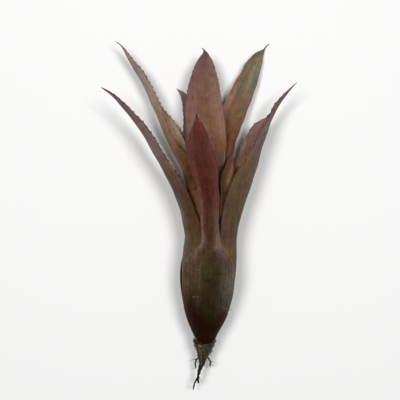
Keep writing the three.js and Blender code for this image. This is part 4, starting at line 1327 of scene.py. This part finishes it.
def root_hairs():
    """Points and faces of short thin rootlets that leave the roots at a slant and curl.

    A rootlet starts at a drawn place of its root, runs on square to the plant's axis and half
    as far along the root, and a curl of sines is added.
    """
    rings, sides = HAIR_MESH
    d = draws((6, HAIRS), HAIR_SEED)
    which = (d[0] * len(ROOTS)).astype(int)
    lines = []
    t = np.linspace(0, 1, rings)
    for k, (rows, _, _) in enumerate(ROOTS):
        line = axis_point(rows)
        at = lengths(line)
        own = np.flatnonzero(which == k)
        s = at[-1] * (0.15 + 0.75 * d[1][own])
        start, way = smooth(np.column_stack([at, line]), s)
        spin = 2 * np.pi * d[2][own]
        off = np.cos(spin)[:, None] * SIDE + np.sin(spin)[:, None] * FRONT
        length = 1.5 + 3.0 * d[3][own]
        curl = np.stack([np.sin(3 * t), np.cos(2.3 * t) - 1, np.sin(4 * t) * 0.6], -1) * 0.5
        reach = (unit(way) * 0.5 + off)[:, None] * (length[:, None] * t)[..., None]
        lines.append(start[:, None] + reach + curl)
    path = np.concatenate(lines)
    thin = HAIR_RADIUS * (1 - 0.65 * t)[None] * np.ones((len(path), 1))
    return tubes(path, thin, sides)


class NEO_OT_stage(NeoOperator):
    """Make the pale floor, the soft light and the camera that looks straight down"""

    bl_idname = "neo.stage"
    bl_label = "Stage"

    def execute(self, context):
        stage = context.scene.neo_stage
        grid = [[FLOOR_HALF * x, FLOOR_HALF * y, z] for z in (FLOOR_TOP, FLOOR_UNDER)
                for x, y in ((-1, -1), (1, -1), (1, 1), (-1, 1))]
        sides = [[i, i + 4, (i + 1) % 4 + 4, (i + 1) % 4] for i in range(4)]
        faces = [[0, 1, 2, 3], [7, 6, 5, 4], *sides]
        paint = Paint("pale_floor", 0.95, 0.0)
        level = stage.floor
        paint.skin.inputs["Base Color"].default_value = (level, level, level * FLOOR_BLUE, 1)
        floor = shape("floor", grid, faces, paint.material)
        floor.data.polygons.foreach_set("use_smooth", np.zeros(len(faces), bool))

        world = bpy.data.worlds.new("sky")
        world.use_nodes = True
        back = world.node_tree.nodes["Background"]
        back.inputs[0].default_value = (1.0, 1.0, 1.0, 1)
        back.inputs[1].default_value = stage.sky
        context.scene.world = world

        for name, x in (("soft_lamp_left", -stage.lamp_apart), ("soft_lamp_right", stage.lamp_apart)):
            lamp = bpy.data.lights.new(name, "AREA")
            lamp.shape = "DISK"
            lamp.size = stage.lamp_size
            lamp.energy = stage.lamp
            lamp.color = LAMP_COLOUR
            made = bpy.data.objects.new(name, lamp)
            made.location = (x, *LAMP_PLACE)
            aim = Vector(LAMP_AIM) - made.location
            made.rotation_euler = aim.to_track_quat("-Z", "Y").to_euler()
            context.scene.collection.objects.link(made)

        eye = bpy.data.cameras.new("camera")
        eye.sensor_width = SENSOR
        eye.lens = SENSOR / 2 / (stage.view_width / 2 / EYE_TO_PLANT)
        eye.clip_start, eye.clip_end = 0.01, 20
        camera = bpy.data.objects.new("camera", eye)
        camera.location = (*EYE_OVER, stage.camera_height)
        context.scene.collection.objects.link(camera)
        context.scene.camera = camera
        context.scene.view_settings.view_transform = "Standard"
        return {"FINISHED"}


class NEO_PT_panel(bpy.types.Panel):
    """Lists the operators and their settings"""

    bl_idname = "NEO_PT_panel"
    bl_label = "Neoregelia"
    bl_space_type = "VIEW_3D"
    bl_region_type = "UI"
    bl_category = "Neoregelia"

    def draw(self, context):
        for operator in OPERATORS:
            self.layout.operator(operator.bl_idname)
        for group in GROUPS:
            box = self.layout.box()
            for key in GROUPS[group].__annotations__:
                box.prop(getattr(context.scene, group), key)


OPERATORS = (NEO_OT_stage, NEO_OT_leaves, NEO_OT_scales, NEO_OT_stem, NEO_OT_fibres)
GROUPS = {"neo_tints": NeoTints, "neo_leaves": NeoLeaves, "neo_foot": NeoFoot,
          "neo_stage": NeoStage}


def register():
    for group, kind in GROUPS.items():
        bpy.utils.register_class(kind)
        setattr(bpy.types.Scene, group, PointerProperty(type=kind))
    for operator in OPERATORS:
        bpy.utils.register_class(operator)
    bpy.utils.register_class(NEO_PT_panel)


def unregister():
    bpy.utils.unregister_class(NEO_PT_panel)
    for operator in reversed(OPERATORS):
        bpy.utils.unregister_class(operator)
    for group, kind in GROUPS.items():
        delattr(bpy.types.Scene, group)
        bpy.utils.unregister_class(kind)


def main():
    register()
    bpy.ops.neo.stage()
    bpy.ops.neo.leaves()
    bpy.ops.neo.scales()
    bpy.ops.neo.stem()
    bpy.ops.neo.fibres()


if __name__ == "__main__":
    main()
